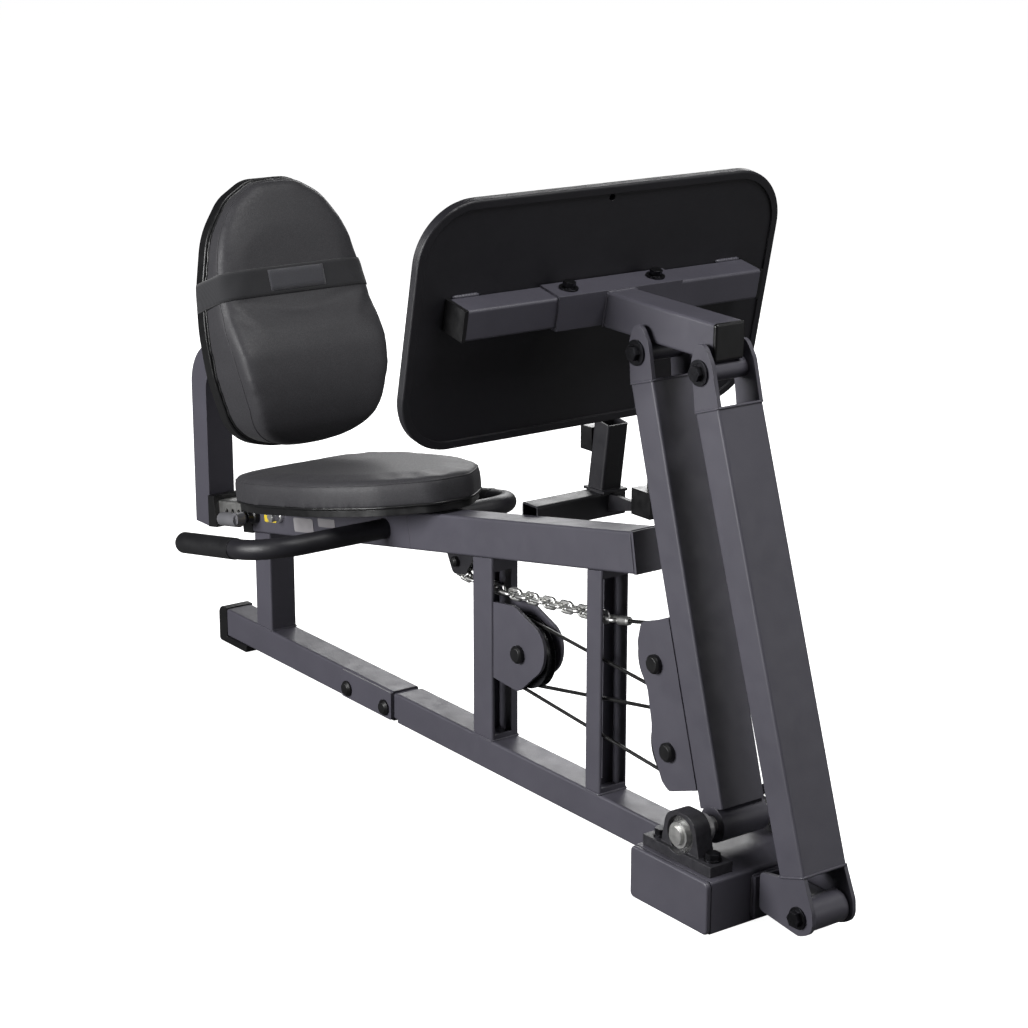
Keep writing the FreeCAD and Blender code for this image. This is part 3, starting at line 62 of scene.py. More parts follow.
# ---------------------------------------------------------------- node helpers
class Shader:
    """A material with short ways to add and link its nodes."""

    def __init__(self, name):
        self.material = bpy.data.materials.new(name)
        self.material.use_nodes = True
        self.tree = self.material.node_tree
        self.surface = self.tree.nodes["Principled BSDF"]
        self.place = self.add("ShaderNodeTexCoord").outputs["Object"]

    def add(self, kind, **values):
        node = self.tree.nodes.new(kind)
        for key, value in values.items():
            setattr(node, key, value)
        return node

    def link(self, output, socket):
        self.tree.links.new(output, socket)

    def noise(self, scale, detail=2.0, roughness=0.5):
        """A noise texture's factor, in the object's own metres."""
        node = self.add("ShaderNodeTexNoise")
        node.inputs["Scale"].default_value = scale
        node.inputs["Detail"].default_value = detail
        node.inputs["Roughness"].default_value = roughness
        self.link(self.place, node.inputs["Vector"])
        return node.outputs["Fac"]

    def cells(self, scale):
        """Distance to the middle of the nearest cell."""
        node = self.add("ShaderNodeTexVoronoi")
        node.inputs["Scale"].default_value = scale
        self.link(self.place, node.inputs["Vector"])
        return node.outputs["Distance"]

    def ramp(self, source, low, high, from_low=0.3, from_high=0.7):
        """Maps a factor to a range of plain values."""
        node = self.add("ShaderNodeMapRange")
        node.inputs["From Min"].default_value = from_low
        node.inputs["From Max"].default_value = from_high
        node.inputs["To Min"].default_value = low
        node.inputs["To Max"].default_value = high
        self.link(source, node.inputs["Value"])
        return node.outputs["Result"]

    def mix(self, factor, first, second):
        """A colour between two, by a factor socket. Either may be a socket or a colour."""
        node = self.add("ShaderNodeMix", data_type="RGBA")
        self.link(factor, node.inputs["Factor"])
        for value, socket in ((first, node.inputs[6]), (second, node.inputs[7])):
            if isinstance(value, tuple):
                socket.default_value = (*value, 1.0)
            else:
                self.link(value, socket)
        return node.outputs[2]

    def bump(self, height, distance, strength, normal=None):
        """A normal bent by a height, over another normal if there is one."""
        node = self.add("ShaderNodeBump")
        node.inputs["Distance"].default_value = distance
        node.inputs["Strength"].default_value = strength
        self.link(height, node.inputs["Height"])
        if normal:
            self.link(normal, node.inputs["Normal"])
        return node.outputs["Normal"]

    def soft_edges(self, radius):
        """A normal that rounds sharp edges, and a mask that is 1 on them."""
        bevel = self.add("ShaderNodeBevel")
        bevel.samples = 4
        bevel.inputs["Radius"].default_value = radius
        geometry = self.add("ShaderNodeNewGeometry")
        dot = self.add("ShaderNodeVectorMath", operation="DOT_PRODUCT")
        self.link(bevel.outputs["Normal"], dot.inputs[0])
        self.link(geometry.outputs["True Normal"], dot.inputs[1])
        return bevel.outputs["Normal"], self.ramp(dot.outputs["Value"], 1.0, 0.0, 0.80, 0.99)


# ---------------------------------------------------------------- materials
def painted(name, colour, roughness, grain=2200.0, depth=0.00018, wear_and_highlight=0.25):
    """Powder coat: fine orange-peel grain, soft colour drift, and edges lightened partly as rubbed wear and
    partly as a painted highlight.
    """
    shader = Shader(name)
    normal, mask = shader.soft_edges(0.0014)
    lighter = tuple(min(1.0, channel * 1.9 + 0.03) for channel in colour)
    drift = shader.ramp(shader.noise(9.0, 3.0), 0.0, 1.0)
    darker = tuple(channel * 0.86 for channel in colour)
    body = shader.mix(drift, darker, colour)
    # Painted highlight and wear: the edges are mixed towards a lighter colour, patchy by noise.
    rubbed_and_lit_edges = shader.add("ShaderNodeMath", operation="MULTIPLY")
    shader.link(mask, rubbed_and_lit_edges.inputs[0])
    shader.link(shader.ramp(shader.noise(160.0, 4.0), 0.25 * wear_and_highlight, wear_and_highlight), rubbed_and_lit_edges.inputs[1])
    shader.link(shader.mix(rubbed_and_lit_edges.outputs[0], body, lighter), shader.surface.inputs["Base Color"])
    shader.link(shader.ramp(shader.noise(40.0, 3.0), roughness - 0.05, roughness + 0.06),
                shader.surface.inputs["Roughness"])
    grained = shader.bump(shader.noise(grain, 2.0, 0.6), depth, 0.5, normal)
    shader.link(grained, shader.surface.inputs["Normal"])
    return shader.material


def plastic(name, colour, roughness, grain=900.0, depth=0.0001):
    """Moulded plastic: a faint spark-eroded grain and a slow gloss change."""
    shader = Shader(name)
    normal, _ = shader.soft_edges(0.0012)
    tint = shader.ramp(shader.noise(18.0, 3.0), 0.0, 1.0)
    lighter = tuple(channel * 1.35 + 0.002 for channel in colour)
    shader.link(shader.mix(tint, colour, lighter), shader.surface.inputs["Base Color"])
    shader.link(shader.ramp(shader.noise(70.0, 2.0), roughness - 0.06, roughness + 0.06),
                shader.surface.inputs["Roughness"])
    shader.link(shader.bump(shader.noise(grain, 2.0), depth, 0.5, normal), shader.surface.inputs["Normal"])
    return shader.material


def metal(name, colour, roughness):
    """Plated or ground steel with fine marks."""
    shader = Shader(name)
    normal, _ = shader.soft_edges(0.0006)
    shader.surface.inputs["Metallic"].default_value = 1.0
    tarnish = shader.ramp(shader.noise(60.0, 4.0), 0.0, 1.0, 0.35, 0.7)
    duller = tuple(channel * 0.72 for channel in colour)
    shader.link(shader.mix(tarnish, colour, duller), shader.surface.inputs["Base Color"])
    marks = shader.noise(500.0, 3.0, 0.6)
    shader.link(shader.ramp(marks, roughness - 0.08, roughness + 0.12), shader.surface.inputs["Roughness"])
    shader.link(shader.bump(marks, 0.00006, 0.4, normal), shader.surface.inputs["Normal"])
    return shader.material


def cast_iron(name, colour):
    """A painted sand casting: coarse lumps under a satin coat."""
    shader = Shader(name)
    normal, _ = shader.soft_edges(0.002)
    lighter = tuple(channel * 1.8 + 0.02 for channel in colour)
    drift = shader.ramp(shader.noise(120.0, 4.0), 0.0, 0.5)
    shader.link(shader.mix(drift, colour, lighter), shader.surface.inputs["Base Color"])
    shader.surface.inputs["Roughness"].default_value = 0.42
    lumps = shader.bump(shader.noise(420.0, 4.0, 0.7), 0.0005, 0.6, normal)
    shader.link(lumps, shader.surface.inputs["Normal"])
    return shader.material


def vinyl(name, colour):
    """Upholstery vinyl: pebbled grain of small cells, broken by fine creases, with painted shade darkening
    the valleys between the pebbles.
    """
    shader = Shader(name)
    pebbles = shader.cells(720.0)
    creases = shader.noise(300.0, 5.0, 0.65)
    tint = shader.ramp(shader.noise(26.0, 3.0), 0.0, 1.0)
    lighter = tuple(channel * 1.3 for channel in colour)
    body = shader.mix(tint, colour, lighter)
    # Painted shade: the colour darkens in the valleys between the pebbles.
    painted_valley_shade = shader.ramp(pebbles, 0.0, 1.0, 0.05, 0.6)
    darker = tuple(channel * 0.7 for channel in colour)
    shader.link(shader.mix(painted_valley_shade, body, darker), shader.surface.inputs["Base Color"])
    shader.link(shader.ramp(creases, 0.46, 0.62), shader.surface.inputs["Roughness"])
    shader.surface.inputs["Sheen Weight"].default_value = 0.03
    shader.surface.inputs["Sheen Roughness"].default_value = 0.4
    shader.surface.inputs["Specular IOR Level"].default_value = 0.36
    grain = shader.bump(pebbles, -0.00022, 0.55)
    shader.link(shader.bump(creases, 0.00025, 0.35, grain), shader.surface.inputs["Normal"])
    return shader.material


def webbing(name, colour, pitch=0.0016):
    """Woven elastic: ribs along the band, crossed by a finer weft; the colour is lighter on the raised ribs
    and darker in the grooves, as painted shade and highlight of the weave.
    """
    shader = Shader(name)
    axes = shader.add("ShaderNodeSeparateXYZ")
    shader.link(shader.place, axes.inputs["Vector"])
    waves = []
    for axis, size in (("Z", pitch), ("Y", pitch * 0.7)):
        scaled = shader.add("ShaderNodeMath", operation="MULTIPLY")
        scaled.inputs[1].default_value = 2 * math.pi / size
        shader.link(axes.outputs[axis], scaled.inputs[0])
        wave = shader.add("ShaderNodeMath", operation="SINE")
        shader.link(scaled.outputs[0], wave.inputs[0])
        waves.append(wave.outputs[0])
    product = shader.add("ShaderNodeMath", operation="MULTIPLY_ADD")
    product.inputs[1].default_value = 0.45
    shader.link(waves[1], product.inputs[0])
    shader.link(waves[0], product.inputs[2])
    height = shader.ramp(product.outputs[0], 0.0, 1.0, -1.4, 1.4)
    lighter = tuple(channel * 2.6 + 0.006 for channel in colour)
    # Painted shade and highlight: the weave's height sets the colour, darker in its grooves and lighter on
    # its ribs.
    shader.link(shader.mix(height, colour, lighter), shader.surface.inputs["Base Color"])
    shader.surface.inputs["Roughness"].default_value = 0.85
    shader.surface.inputs["Sheen Weight"].default_value = 0.25
    fuzz = shader.bump(shader.noise(3500.0, 2.0), 0.0001, 0.4)
    shader.link(shader.bump(height, 0.0003, 0.8, fuzz), shader.surface.inputs["Normal"])
    return shader.material


MATERIALS = {
    "frame_paint": painted("frame_paint", (0.078, 0.075, 0.094), 0.42),
    "black_paint": painted("black_paint", (0.013, 0.0125, 0.016), 0.45, grain=1500.0, depth=0.0003,
                           wear_and_highlight=0.12),
    "black_plastic": plastic("black_plastic", (0.005, 0.005, 0.0055), 0.34),
    "pulley_plastic": plastic("pulley_plastic", (0.012, 0.012, 0.014), 0.24, grain=300.0),
    "zinc": metal("zinc", (0.86, 0.86, 0.84), 0.36),
    "bearing_steel": metal("bearing_steel", (0.55, 0.55, 0.55), 0.22),
    "cast_housing": cast_iron("cast_housing", (0.016, 0.0155, 0.019)),
    "black_hardware": metal("black_hardware", (0.045, 0.045, 0.05), 0.34),
    "upholstery": vinyl("upholstery", (0.046, 0.045, 0.050)),
    "elastic": webbing("elastic", (0.006, 0.006, 0.0075)),
    "grip_rubber": plastic("grip_rubber", (0.006, 0.006, 0.007), 0.42, grain=1600.0, depth=0.00025),
    "cable_jacket": plastic("cable_jacket", (0.006, 0.006, 0.006), 0.35),
    "grey_plastic": plastic("grey_plastic", (0.13, 0.13, 0.14), 0.38),
    "patch_cloth": webbing("patch_cloth", (0.026, 0.026, 0.031), pitch=0.0009),
    "yellow_label": plastic("yellow_label", (0.62, 0.46, 0.03), 0.45),
    "grey_label": plastic("grey_label", (0.24, 0.23, 0.24), 0.5),
}


def dress_cad_nodes():
    """Every CAD node takes the material of its slot."""
    for entry in frame["record"]["subparts"]:
        mesh = NODES[entry["node"]].data
        mesh.materials.clear()
        mesh.materials.append(MATERIALS[entry["material_slot"]])


# ---------------------------------------------------------------- stage, light and camera
def seen_by_camera(tree, dim, bright):
    """Joins two shaders: one that lights the object, and a brighter one for the background."""
    path = tree.nodes.new("ShaderNodeLightPath")
    choice = tree.nodes.new("ShaderNodeMixShader")
    tree.links.new(path.outputs["Is Camera Ray"], choice.inputs[0])
    tree.links.new(dim.outputs[0], choice.inputs[1])
    tree.links.new(bright.outputs[0], choice.inputs[2])
    return choice


def floor_material():
    """Pale matt floor: white to look at, but a weak reflector, so that dark faces stay dark."""
    shader = Shader("floor")
    shader.surface.inputs["Base Color"].default_value = (0.90, 0.90, 0.90, 1.0)
    shader.surface.inputs["Roughness"].default_value = 0.95
    shader.surface.inputs["Specular IOR Level"].default_value = 0.05
    shader.surface.inputs["Emission Color"].default_value = (1.0, 1.0, 1.0, 1.0)
    shader.surface.inputs["Emission Strength"].default_value = 0.97
    dim = shader.add("ShaderNodeBsdfDiffuse")
    dim.inputs["Color"].default_value = (0.12, 0.12, 0.12, 1.0)
    choice = seen_by_camera(shader.tree, dim, shader.surface)
    shader.link(choice.outputs[0], shader.tree.nodes["Material Output"].inputs["Surface"])
    return shader.material


def make_stage():
    half = 30.0
    mesh = bpy.data.meshes.new("floor")
    mesh.from_pydata([(-half, -half, 0), (half, -half, 0), (half, half, 0), (-half, half, 0)], [],
                     [(0, 1, 2, 3)])
    floor = bpy.data.objects.new("floor", mesh)
    bpy.context.collection.objects.link(floor)
    mesh.materials.append(floor_material())


def area_light(name, place, target, width, height, power):
    """A rectangular light at one place that looks at another."""
    light = bpy.data.lights.new(name, "AREA")
    light.shape = "RECTANGLE"
    light.size = width
    light.size_y = height
    light.energy = power
    lamp = bpy.data.objects.new(name, light)
    lamp.location = place
    direction = Vector(target) - Vector(place)
    lamp.rotation_euler = direction.to_track_quat("-Z", "Y").to_euler()
    bpy.context.collection.objects.link(lamp)
    return lamp


def make_light():
    """A dim room that looks white to the camera, and four soft lights."""
    world = bpy.data.worlds.new("studio")
    world.use_nodes = True
    tree = world.node_tree
    dim = tree.nodes["Background"]
    dim.inputs["Color"].default_value = (1.0, 1.0, 1.0, 1.0)
    dim.inputs["Strength"].default_value = 0.03
    bright = tree.nodes.new("ShaderNodeBackground")
    bright.inputs["Strength"].default_value = 1.0
    choice = seen_by_camera(tree, dim, bright)
    tree.links.new(choice.outputs[0], tree.nodes["World Output"].inputs["Surface"])
    bpy.context.scene.world = world
    area_light("key", (-0.5, -3.3, 1.3), (0.0, 0, 0.40), 2.2, 1.5, 168)
    area_light("high_front", (1.75, 0.5, 3.3), (0.0, 0, 0.45), 1.6, 1.6, 84)
    sheen = area_light("sheen", (2.9, 1.7, 1.0), (0.6, 0, 0.45), 1.5, 1.5, 9)
    sheen.data.diffuse_factor = 0.2
    far_side = area_light("far_side", (-2.6, 2.4, 1.7), (0.0, 0, 0.4), 2.0, 1.5, 48)
    far_side.data.specular_factor = 0.03


def make_camera():
    camera = bpy.data.objects.new("camera", bpy.data.cameras.new("camera"))
    camera.data.sensor_width = 36.0
    camera.data.lens = 87.7
    camera.data.clip_end = 100.0
    camera.location = (2.969, -2.093, 1.4345)
    camera.rotation_euler = (math.radians(90 - 15.95), 0, math.radians(53.80))
    bpy.context.collection.objects.link(camera)
    scene = bpy.context.scene
    scene.camera = camera
    scene.view_settings.view_transform = "Standard"


# ---------------------------------------------------------------- mesh builders
def add_mesh(name, points, faces, material, smooth=True, matrix=None):
    mesh = bpy.data.meshes.new(name)
    mesh.from_pydata([tuple(point) for point in points], [], faces)
    mesh.validate()
    if smooth:
        mesh.polygons.foreach_set("use_smooth", [True] * len(mesh.polygons))
    mesh.materials.append(MATERIALS[material])
    piece = bpy.data.objects.new(name, mesh)
    if matrix:
        piece.matrix_world = matrix
    bpy.context.collection.objects.link(piece)
    return piece


def sweep(path, radii, sides, closed=False):
    """Points and faces of a round tube along a path, with a radius at each point."""
    points = []
    faces = []
    count = len(path)
    side = None
    for index, here in enumerate(path):
        before = path[index - 1] if index or closed else here
        after = path[(index + 1) % count] if index + 1 < count or closed else here
        along = (after - before).normalized()
        if side is None:
            side = along.orthogonal().normalized()
        side = (side - along * side.dot(along)).normalized()
        other = along.cross(side)
        for turn in range(sides):
            angle = 2 * math.pi * turn / sides
            points.append(here + (side * math.cos(angle) + other * math.sin(angle)) * radii[index])
    for ring in range(count if closed else count - 1):
        following = (ring + 1) % count
        for turn in range(sides):
            beside = (turn + 1) % sides
            faces.append((ring * sides + turn, ring * sides + beside,
                          following * sides + beside, following * sides + turn))
    if not closed:
        faces.append(tuple(range(sides))[::-1])
        faces.append(tuple(range((count - 1) * sides, count * sides)))
    return points, faces


def tube_piece(name, path, radius, material, sides=8, closed=False, matrix=None):
    points, faces = sweep(path, [radius] * len(path), sides, closed)
    return add_mesh(name, points, faces, material, matrix=matrix)


def subdivided(start, end, step):
    """Points along a straight run, both ends included."""
    pieces = max(1, round((end - start).length / step))
    return [start.lerp(end, index / pieces) for index in range(pieces + 1)]


# ---------------------------------------------------------------- cushions
CELL = 0.005
FRAMES = 20
SEAT_BASE = 0.017
BACK_BASE = -0.016
# Rays that look for a pad's surface start this far out.
RAY_START = 0.6


def cushion(node, name, matrix, depth, base, rounds, pressure, most):
    """A pad grown from its CAD solid: remeshed, rounded, then blown up as cloth held on its board side.

    depth is the axis that points away from the board, and base where the board side lies on it.
    """
    source = NODES[node]
    mesh = source.data.copy()
    mesh.transform(matrix.inverted() @ source.matrix_world)
    pad = bpy.data.objects.new(name, mesh)
    pad.matrix_world = matrix
    bpy.context.collection.objects.link(pad)
    remesh = pad.modifiers.new("remesh", "REMESH")
    remesh.mode = "VOXEL"
    remesh.voxel_size = CELL
    settle(pad)
    soften(pad, depth, base, rounds)
    inflate(pad, depth, base, pressure, most)
    pad.data.polygons.foreach_set("use_smooth", [True] * len(pad.data.polygons))
    pad.data.materials.clear()
    pad.data.materials.append(MATERIALS["upholstery"])
    finer = pad.modifiers.new("finer", "SUBSURF")
    finer.levels = 1
    finer.render_levels = 1
    return pad


def soften(pad, depth, base, rounds):
    """Smooths every vertex that isn't on the board side."""
    shape = bmesh.new()
    shape.from_mesh(pad.data)
    free = [vertex for vertex in shape.verts if vertex.co[depth] > base + 0.6 * CELL]
    for _ in range(rounds):
        bmesh.ops.smooth_vert(shape, verts=free, factor=0.5, use_axis_x=True, use_axis_y=True,
                              use_axis_z=True)
    shape.to_mesh(pad.data)
    shape.free()


def settle(piece):
    """Turns a piece's modifiers into its own mesh."""
    graph = bpy.context.evaluated_depsgraph_get()
    result = bpy.data.meshes.new_from_object(piece.evaluated_get(graph))
    piece.modifiers.clear()
    piece.data = result


def inflate(pad, depth, base, pressure, most):
    """Runs the cloth, and keeps no vertex further than most from where it began."""
    before = [vertex.co.copy() for vertex in pad.data.vertices]
    held = pad.vertex_groups.new(name="held")
    low = [index for index, place in enumerate(before) if place[depth] < base + 1.6 * CELL]
    held.add(low, 1.0, "REPLACE")
    cloth = pad.modifiers.new("cloth", "CLOTH")
    settings = cloth.settings
    settings.quality = 4
    settings.mass = 0.4
    settings.tension_stiffness = 80
    settings.compression_stiffness = 80
    settings.shear_stiffness = 40
    settings.bending_stiffness = 30
    settings.use_pressure = True
    settings.uniform_pressure_force = pressure
    settings.vertex_group_mass = "held"
    settings.effector_weights.gravity = 0
    cloth.collision_settings.use_collision = False
    cloth.point_cache.frame_end = FRAMES
    scene = bpy.context.scene
    for number in range(1, FRAMES + 1):
        scene.frame_set(number)
    settle(pad)
    for vertex, start in zip(pad.data.vertices, before):
        shift = vertex.co - start
        if shift.length > most:
            vertex.co = start + shift.normalized() * most
    soften(pad, depth, base, 3)
    scene.frame_set(1)


def tree_of(*pieces):
    """One search tree of several pieces, in the frame of the first."""
    points = []
    faces = []
    home = pieces[0].matrix_world.inverted()
    for piece in pieces:
        turn = home @ piece.matrix_world
        first = len(points)
        points += [turn @ vertex.co for vertex in piece.data.vertices]
        faces += [[first + index for index in polygon.vertices] for polygon in piece.data.polygons]
    return BVHTree.FromPolygons(points, faces)


def ring_hits(tree, centre, ahead, across, count):
    """Where rays from all round a centre, in one plane, first meet a shape."""
    hits = []
    for number in range(count):
        angle = 2 * math.pi * number / count
        outward = ahead * math.cos(angle) + across * math.sin(angle)
        place = tree.ray_cast(centre + outward * RAY_START, -outward)[0]
        if place is not None:
            hits.append(place)
    return hits


SEAM_RADIUS = 0.0011
WELT_RADIUS = 0.0024


def make_seat_cushion():
    """The seat, a seam round its top edge and a welt along its board."""
    seat = cushion("seat_pad", "seat_cushion", RAIL_FRAME, depth=2, base=SEAT_BASE, rounds=3, pressure=2.6,
                   most=0.004)
    tree = tree_of(seat)
    centre_x = -0.29
    pieces = [seat]
    for word, height, radius, material in (("top_seam", 0.0535, SEAM_RADIUS, "upholstery"),
                                           ("lower_welt", 0.0185, WELT_RADIUS, "black_plastic")):
        hits = ring_hits(tree, Vector((centre_x, 0, height)), Vector((1, 0, 0)), Vector((0, 1, 0)), 240)
        pieces.append(tube_piece("seat_" + word, hits, radius, material, closed=True, matrix=RAIL_FRAME))
    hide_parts("seat_pad")
    for piece in pieces:
        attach(piece, "root")


# How far out of the back's own frame its seam runs, against height.
SEAM_PLACES = [(-0.02, 0.022), (0.02, 0.046), (0.06, 0.062), (0.105, 0.065), (0.15, 0.058), (0.19, 0.043),
               (0.265, 0.022), (0.34, 0.013), (0.45, 0.000)]


def seam_depth(height):
    """SEAM_PLACES read between its rows."""
    for (low, near), (high, far) in zip(SEAM_PLACES, SEAM_PLACES[1:]):
        if height <= high:
            share = max(0.0, (height - low) / (high - low))
            return near + (far - near) * share
    return SEAM_PLACES[-1][1]


def make_back_cushion():
    """The back pad, a seam where its front turns into its sides and a welt along its board."""
    back = cushion("back_pad", "back_cushion", BACK_FRAME, depth=0, base=BACK_BASE, rounds=26, pressure=3.0,
                   most=0.004)
    tree = tree_of(back)
    count = 260
    middle_height = 0.2
    seam = []
    for number in range(count):
        angle = 2 * math.pi * number / count
        outward = Vector((0, math.sin(angle), math.cos(angle)))
        rough = tree.ray_cast(Vector((0, 0, middle_height)) + outward * RAY_START, -outward)[0]
        centre = Vector((seam_depth(rough.z), 0, middle_height))
        place = tree.ray_cast(centre + outward * RAY_START, -outward)[0]
        seam.append(place or rough)
    rim_centre = Vector((BACK_BASE + 0.003, 0, middle_height))
    rim = ring_hits(tree, rim_centre, Vector((0, 0, 1)), Vector((0, 1, 0)), count)
    pieces = [back, tube_piece("back_seam", seam, SEAM_RADIUS, "upholstery", closed=True, matrix=BACK_FRAME),
              tube_piece("back_welt", rim, WELT_RADIUS, "black_plastic", closed=True, matrix=BACK_FRAME)]
    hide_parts("back_pad")
    make_strap(back)
    for piece in pieces:
        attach(piece, "back")


def hull_of(points):
    """The convex hull of flat points, anticlockwise."""
    ordered = sorted(points)

    def half(sequence):
        chain = []
        for point in sequence:
            while len(chain) > 1 and ((chain[-1][0] - chain[-2][0]) * (point[1] - chain[-2][1])
                                      - (chain[-1][1] - chain[-2][1]) * (point[0] - chain[-2][0])) <= 0:
                chain.pop()
            chain.append(point)
        return chain[:-1]

    return half(ordered) + half(reversed(ordered))


def hull_radius(hull, angle):
    """How far a hull reaches from the origin along an angle."""
    direction = (math.cos(angle), math.sin(angle))
    best = 0.0
    for (ax, ay), (bx, by) in zip(hull, hull[1:] + hull[:1]):
        ex, ey = bx - ax, by - ay
        cross = direction[0] * ey - direction[1] * ex
        if abs(cross) < 1e-12:
            continue
        distance = (ax * ey - ay * ex) / cross
        along = (ax * direction[1] - ay * direction[0]) / cross
        if distance > 0 and -1e-6 <= along <= 1 + 1e-6:
            best = max(best, distance)
    return best


STRAP_FRONT = 0.036
STRAP_TILT = math.radians(14)
STRAP_LOW = 0.236
STRAP_HIGH = 0.283


def strap_band(tree, low, high, rows, angles, lift):
    """Points of a band stretched round the back rest, row by row; it bridges every hollow."""
    ahead = Vector((math.cos(STRAP_TILT), 0, math.sin(STRAP_TILT)))
    across = Vector((0, 1, 0))
    points = []
    for row in range(rows + 1):
        height = low + (high - low) * row / rows
        centre = Vector((STRAP_FRONT, 0, height)) - ahead * STRAP_FRONT
        flat = []
        for place in ring_hits(tree, centre, ahead, across, 180):
            gap = place - centre
            flat.append((gap.dot(ahead), gap.dot(across)))
        hull = hull_of(flat)
        edge = 0.0006 * (1 - abs(2 * row / rows - 1) ** 6)
        for angle in angles:
            reach = hull_radius(hull, angle) + lift + edge
            points.append(centre + (ahead * math.cos(angle) + across * math.sin(angle)) * reach)
    return points


def grid_faces(rows, columns, closed):
    """Four-sided faces between rows of points; a closed grid joins its last column to its first."""
    faces = []
    for row in range(rows):
        for column in range(columns if closed else columns - 1):
            beside = (column + 1) % columns
            faces.append((row * columns + column, row * columns + beside,
                          (row + 1) * columns + beside, (row + 1) * columns + column))
    return faces


def thicken(sheet, thickness):
    """Gives an open sheet its thickness, outwards."""
    solid = sheet.modifiers.new("thickness", "SOLIDIFY")
    solid.thickness = thickness
    solid.offset = 1.0
    settle(sheet)


def make_strap(back):
    """The elastic round the back rest, and the blank patch sewn on its front."""
    tree = tree_of(back, NODES["back_board"])
    count = 240
    angles = [2 * math.pi * number / count for number in range(count)]
    rows = 8
    points = strap_band(tree, STRAP_LOW, STRAP_HIGH, rows, angles, 0.0006)
    strap = add_mesh("strap", points, grid_faces(rows, count, True), "elastic", matrix=BACK_FRAME)
    thicken(strap, 0.0014)
    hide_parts("back_strap")
    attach(strap, "back")
    half_wide = 0.052
    columns = 24
    patch_rows = 4
    spread = [half_wide * (2 * number / (columns - 1) - 1) for number in range(columns)]
    angles = [math.atan2(across, STRAP_FRONT + 0.010) for across in spread]
    points = strap_band(tree, STRAP_LOW + 0.006, STRAP_HIGH - 0.005, patch_rows, angles, 0.0024)
    for index, point in enumerate(points):
        point.y = spread[index % columns]
    patch = add_mesh("strap_patch", points, grid_faces(patch_rows, columns, False), "patch_cloth",
                     matrix=BACK_FRAME)
    thicken(patch, 0.0009)
    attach(patch, "back")


# ---------------------------------------------------------------- cable
def round_pulley(centre, start, end, turn):
    """Points of the wrap round a pulley from one place to another; turn is 1 or -1."""
    first = math.atan2(start.z - centre.z, start.x - centre.x)
    last = math.atan2(end.z - centre.z, end.x - centre.x)
    while (last - first) * turn < 0:
        last += 2 * math.pi * turn
    radius = math.hypot(start.z - centre.z, start.x - centre.x)
    steps = max(2, round(abs(last - first) * radius / 0.005))
    return [Vector((centre.x + radius * math.cos(first + (last - first) * step / steps), centre.y,
                    centre.z + radius * math.sin(first + (last - first) * step / steps)))
            for step in range(steps + 1)]


def make_cable():
    """The cable in three runs, each laid as a fixed tube between the frame and the rear arm."""
    radius = 0.00275
    step = 0.008
    upper = Vector((0.488, -0.015, 0.304))
    lower = Vector((0.519, -0.015, 0.1856))
    middle = Vector((0.152, -0.002, 0.220))
    clip = Vector((0.372, -0.008, 0.329))
    upper_on = Vector((0.4770, -0.015, 0.3528))
    upper_off = Vector((0.4856, -0.015, 0.2541))
    middle_on = Vector((0.1544, -0.002, 0.2699))
    middle_off = Vector((0.1610, -0.002, 0.1708))
    lower_on = Vector((0.5100, -0.015, 0.2348))
    lower_off = Vector((0.5149, -0.015, 0.1358))
    anchor = Vector((0.101, -0.0135, 0.170))
    runs = (
        ("cable_front", subdivided(clip, upper_on, step)[:-1] + round_pulley(upper, upper_on, upper_off, -1),
         0.425, 0.462),
        ("cable_middle", subdivided(upper_off, middle_on, step)[:-1]
         + round_pulley(middle, middle_on, middle_off, 1) + subdivided(middle_off, lower_on, step)[1:],
         0.350, 0.484),
        ("cable_low", round_pulley(lower, lower_on, lower_off, -1) + subdivided(lower_off, anchor, step)[1:],
         0.308, 0.505),
    )
    for name, path, start_x, end_x in runs:
        piece = tube_piece(name, path, radius, "cable_jacket", sides=10)
        if name == "cable_middle":
            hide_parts("cable")
        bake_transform(piece)


# ---------------------------------------------------------------- welds and tags
def weld(name, body, start, end, radius):
    """A rippled bead between two places."""
    path = subdivided(Vector(start), Vector(end), 0.0014)
    chance = random.Random(name)
    radii = []
    for index in range(len(path)):
        ripple = 0.82 + 0.18 * abs(math.sin(index * 0.95)) + chance.uniform(-0.05, 0.05)
        ending = min(1.0, 0.45 + 0.2 * min(index, len(path) - 1 - index))
        radii.append(radius * ripple * ending)
    points, faces = sweep(path, radii, sides=8)
    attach(add_mesh(name, points, faces, "frame_paint"), body)


def lean(pivot, degrees, along, across, side):
    """A place on a leaning arm: along it, across its depth and to its side."""
    angle = math.radians(degrees)
    return (pivot[0] - math.sin(angle) * along + math.cos(angle) * across, side,
            pivot[1] + math.cos(angle) * along + math.sin(angle) * across)


def make_arm_welds():
    """Beads round the ends of both arm tubes."""
    half = 0.0385
    deep = 0.024
    rear = (0.6137, 0.1115)
    front = (0.7855, 0.0399)
    for word, body, pivot, angle, level in (("rear_top", "rear_arm", rear, 16.0, 0.600),
                                            ("front_top", "front_arm", front, 17.77, 0.667),
                                            ("front_foot", "front_arm", front, 17.77, 0.053)):
        corners = [lean(pivot, angle, level, -deep, -half), lean(pivot, angle, level, deep, -half),
                   lean(pivot, angle, level, deep, half), lean(pivot, angle, level, -deep, half)]
        for number, (start, end) in enumerate(zip(corners, corners[1:] + corners[:1])):
            weld("weld_%s_%d" % (word, number), body, start, end, 0.0021)


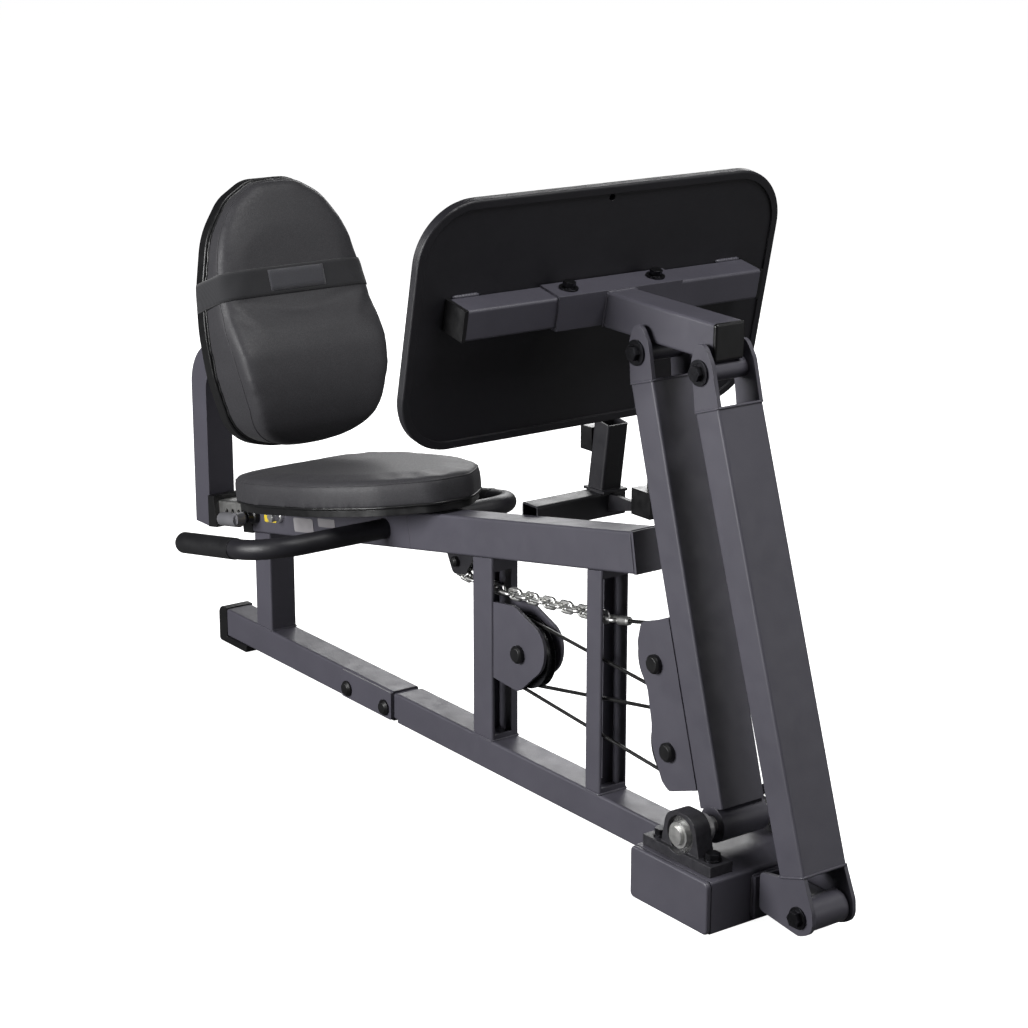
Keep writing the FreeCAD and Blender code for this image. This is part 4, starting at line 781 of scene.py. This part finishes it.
def make_head_welds():
    """Beads between the head's beam, its sleeve and the cross tube."""
    tilt = math.radians(12)
    corner = Vector((0.3578, 0, 0.7938))
    toward = Vector((-math.cos(tilt), 0, math.sin(tilt)))
    upward = Vector((math.sin(tilt), 0, math.cos(tilt)))
    sideways = Vector((0, 1, 0))
    for side in (-1, 1):
        start = corner + sideways * side * 0.025
        weld("weld_beam_%d" % (side + 1), "head", start, start - upward * 0.05, 0.0024)
        start = corner + toward * 0.0485 + sideways * side * 0.205 + upward * 0.0008
        weld("weld_cross_outer_%d" % (side + 1), "head", start, start + sideways * side * 0.043, 0.0030)
    weld("weld_beam_top", "head", corner + sideways * -0.025, corner + sideways * 0.025, 0.0024)


def make_frame_welds():
    """Beads at the uprights' feet, the floor box and the rail's end plate."""
    foot = 0.0628
    for word, x, deep_x in (("rear", -0.5845, 0.025), ("mid", 0.062, 0.025), ("front", 0.3325, 0.0175)):
        for side in (-1, 1):
            weld("weld_%s_foot_%d" % (word, side + 1), "root", (x - deep_x, side * 0.025, foot),
                 (x + deep_x, side * 0.025, foot), 0.0022)
        weld("weld_%s_foot_front" % word, "root", (x + deep_x, -0.025, foot), (x + deep_x, 0.025, foot),
             0.0022)
    for word, low, high in (("base_box_near", (0.5347, -0.025, 0.014), (0.5347, -0.025, 0.061)),
                            ("base_box_top", (0.5347, -0.025, 0.0625), (0.5347, 0.025, 0.0625)),
                            ("tongue_near", (0.696, -0.040, 0.010), (0.696, -0.040, 0.065)),
                            ("tongue_top", (0.696, -0.040, 0.0672), (0.696, 0.040, 0.0672))):
        weld("weld_" + word, "root", low, high, 0.0022)
    end = 0.4175 / math.cos(RAIL_ANGLE) - 0.006
    for word, first, last in (("near", (end, -0.025, -0.058), (end, -0.025, -0.002)),
                              ("top", (end, -0.024, 0.0), (end, 0.024, 0.0))):
        weld("weld_rail_end_" + word, "root", RAIL_FRAME @ Vector(first), RAIL_FRAME @ Vector(last), 0.0016)


def label_plate(name, x, height, wide, high, material):
    """A thin blank label on the rail's near side."""
    along = x / math.cos(RAIL_ANGLE)
    near = -0.0251
    thick = 0.0006
    rail_middle = -0.030
    round_corner = 0.18 * high
    outline = []
    for corner_x, corner_z, first in ((1, 1, 0), (-1, 1, 90), (-1, -1, 180), (1, -1, 270)):
        for step in range(5):
            angle = math.radians(first + 22.5 * step)
            outline.append((along + corner_x * (wide / 2 - round_corner) + round_corner * math.cos(angle),
                            rail_middle + height + corner_z * (high / 2 - round_corner)
                            + round_corner * math.sin(angle)))
    count = len(outline)
    points = [(px, near, pz) for px, pz in outline] + [(px, near - thick, pz) for px, pz in outline]
    faces = [tuple(range(count, 2 * count)), tuple(range(count))[::-1]]
    faces += [(index, (index + 1) % count, count + (index + 1) % count, count + index)
              for index in range(count)]
    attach(add_mesh(name, points, faces, material, smooth=False, matrix=RAIL_FRAME), "root")


dress_cad_nodes()
make_stage()
make_light()
make_camera()
make_seat_cushion()
make_back_cushion()
make_cable()
make_arm_welds()
make_head_welds()
make_frame_welds()
label_plate("yellow_tag", -0.558, -0.0035, 0.040, 0.012, "yellow_label")
label_plate("grey_tag_long", -0.452, -0.009, 0.062, 0.024, "grey_label")
label_plate("grey_tag_short", -0.379, -0.0015, 0.052, 0.014, "grey_label")
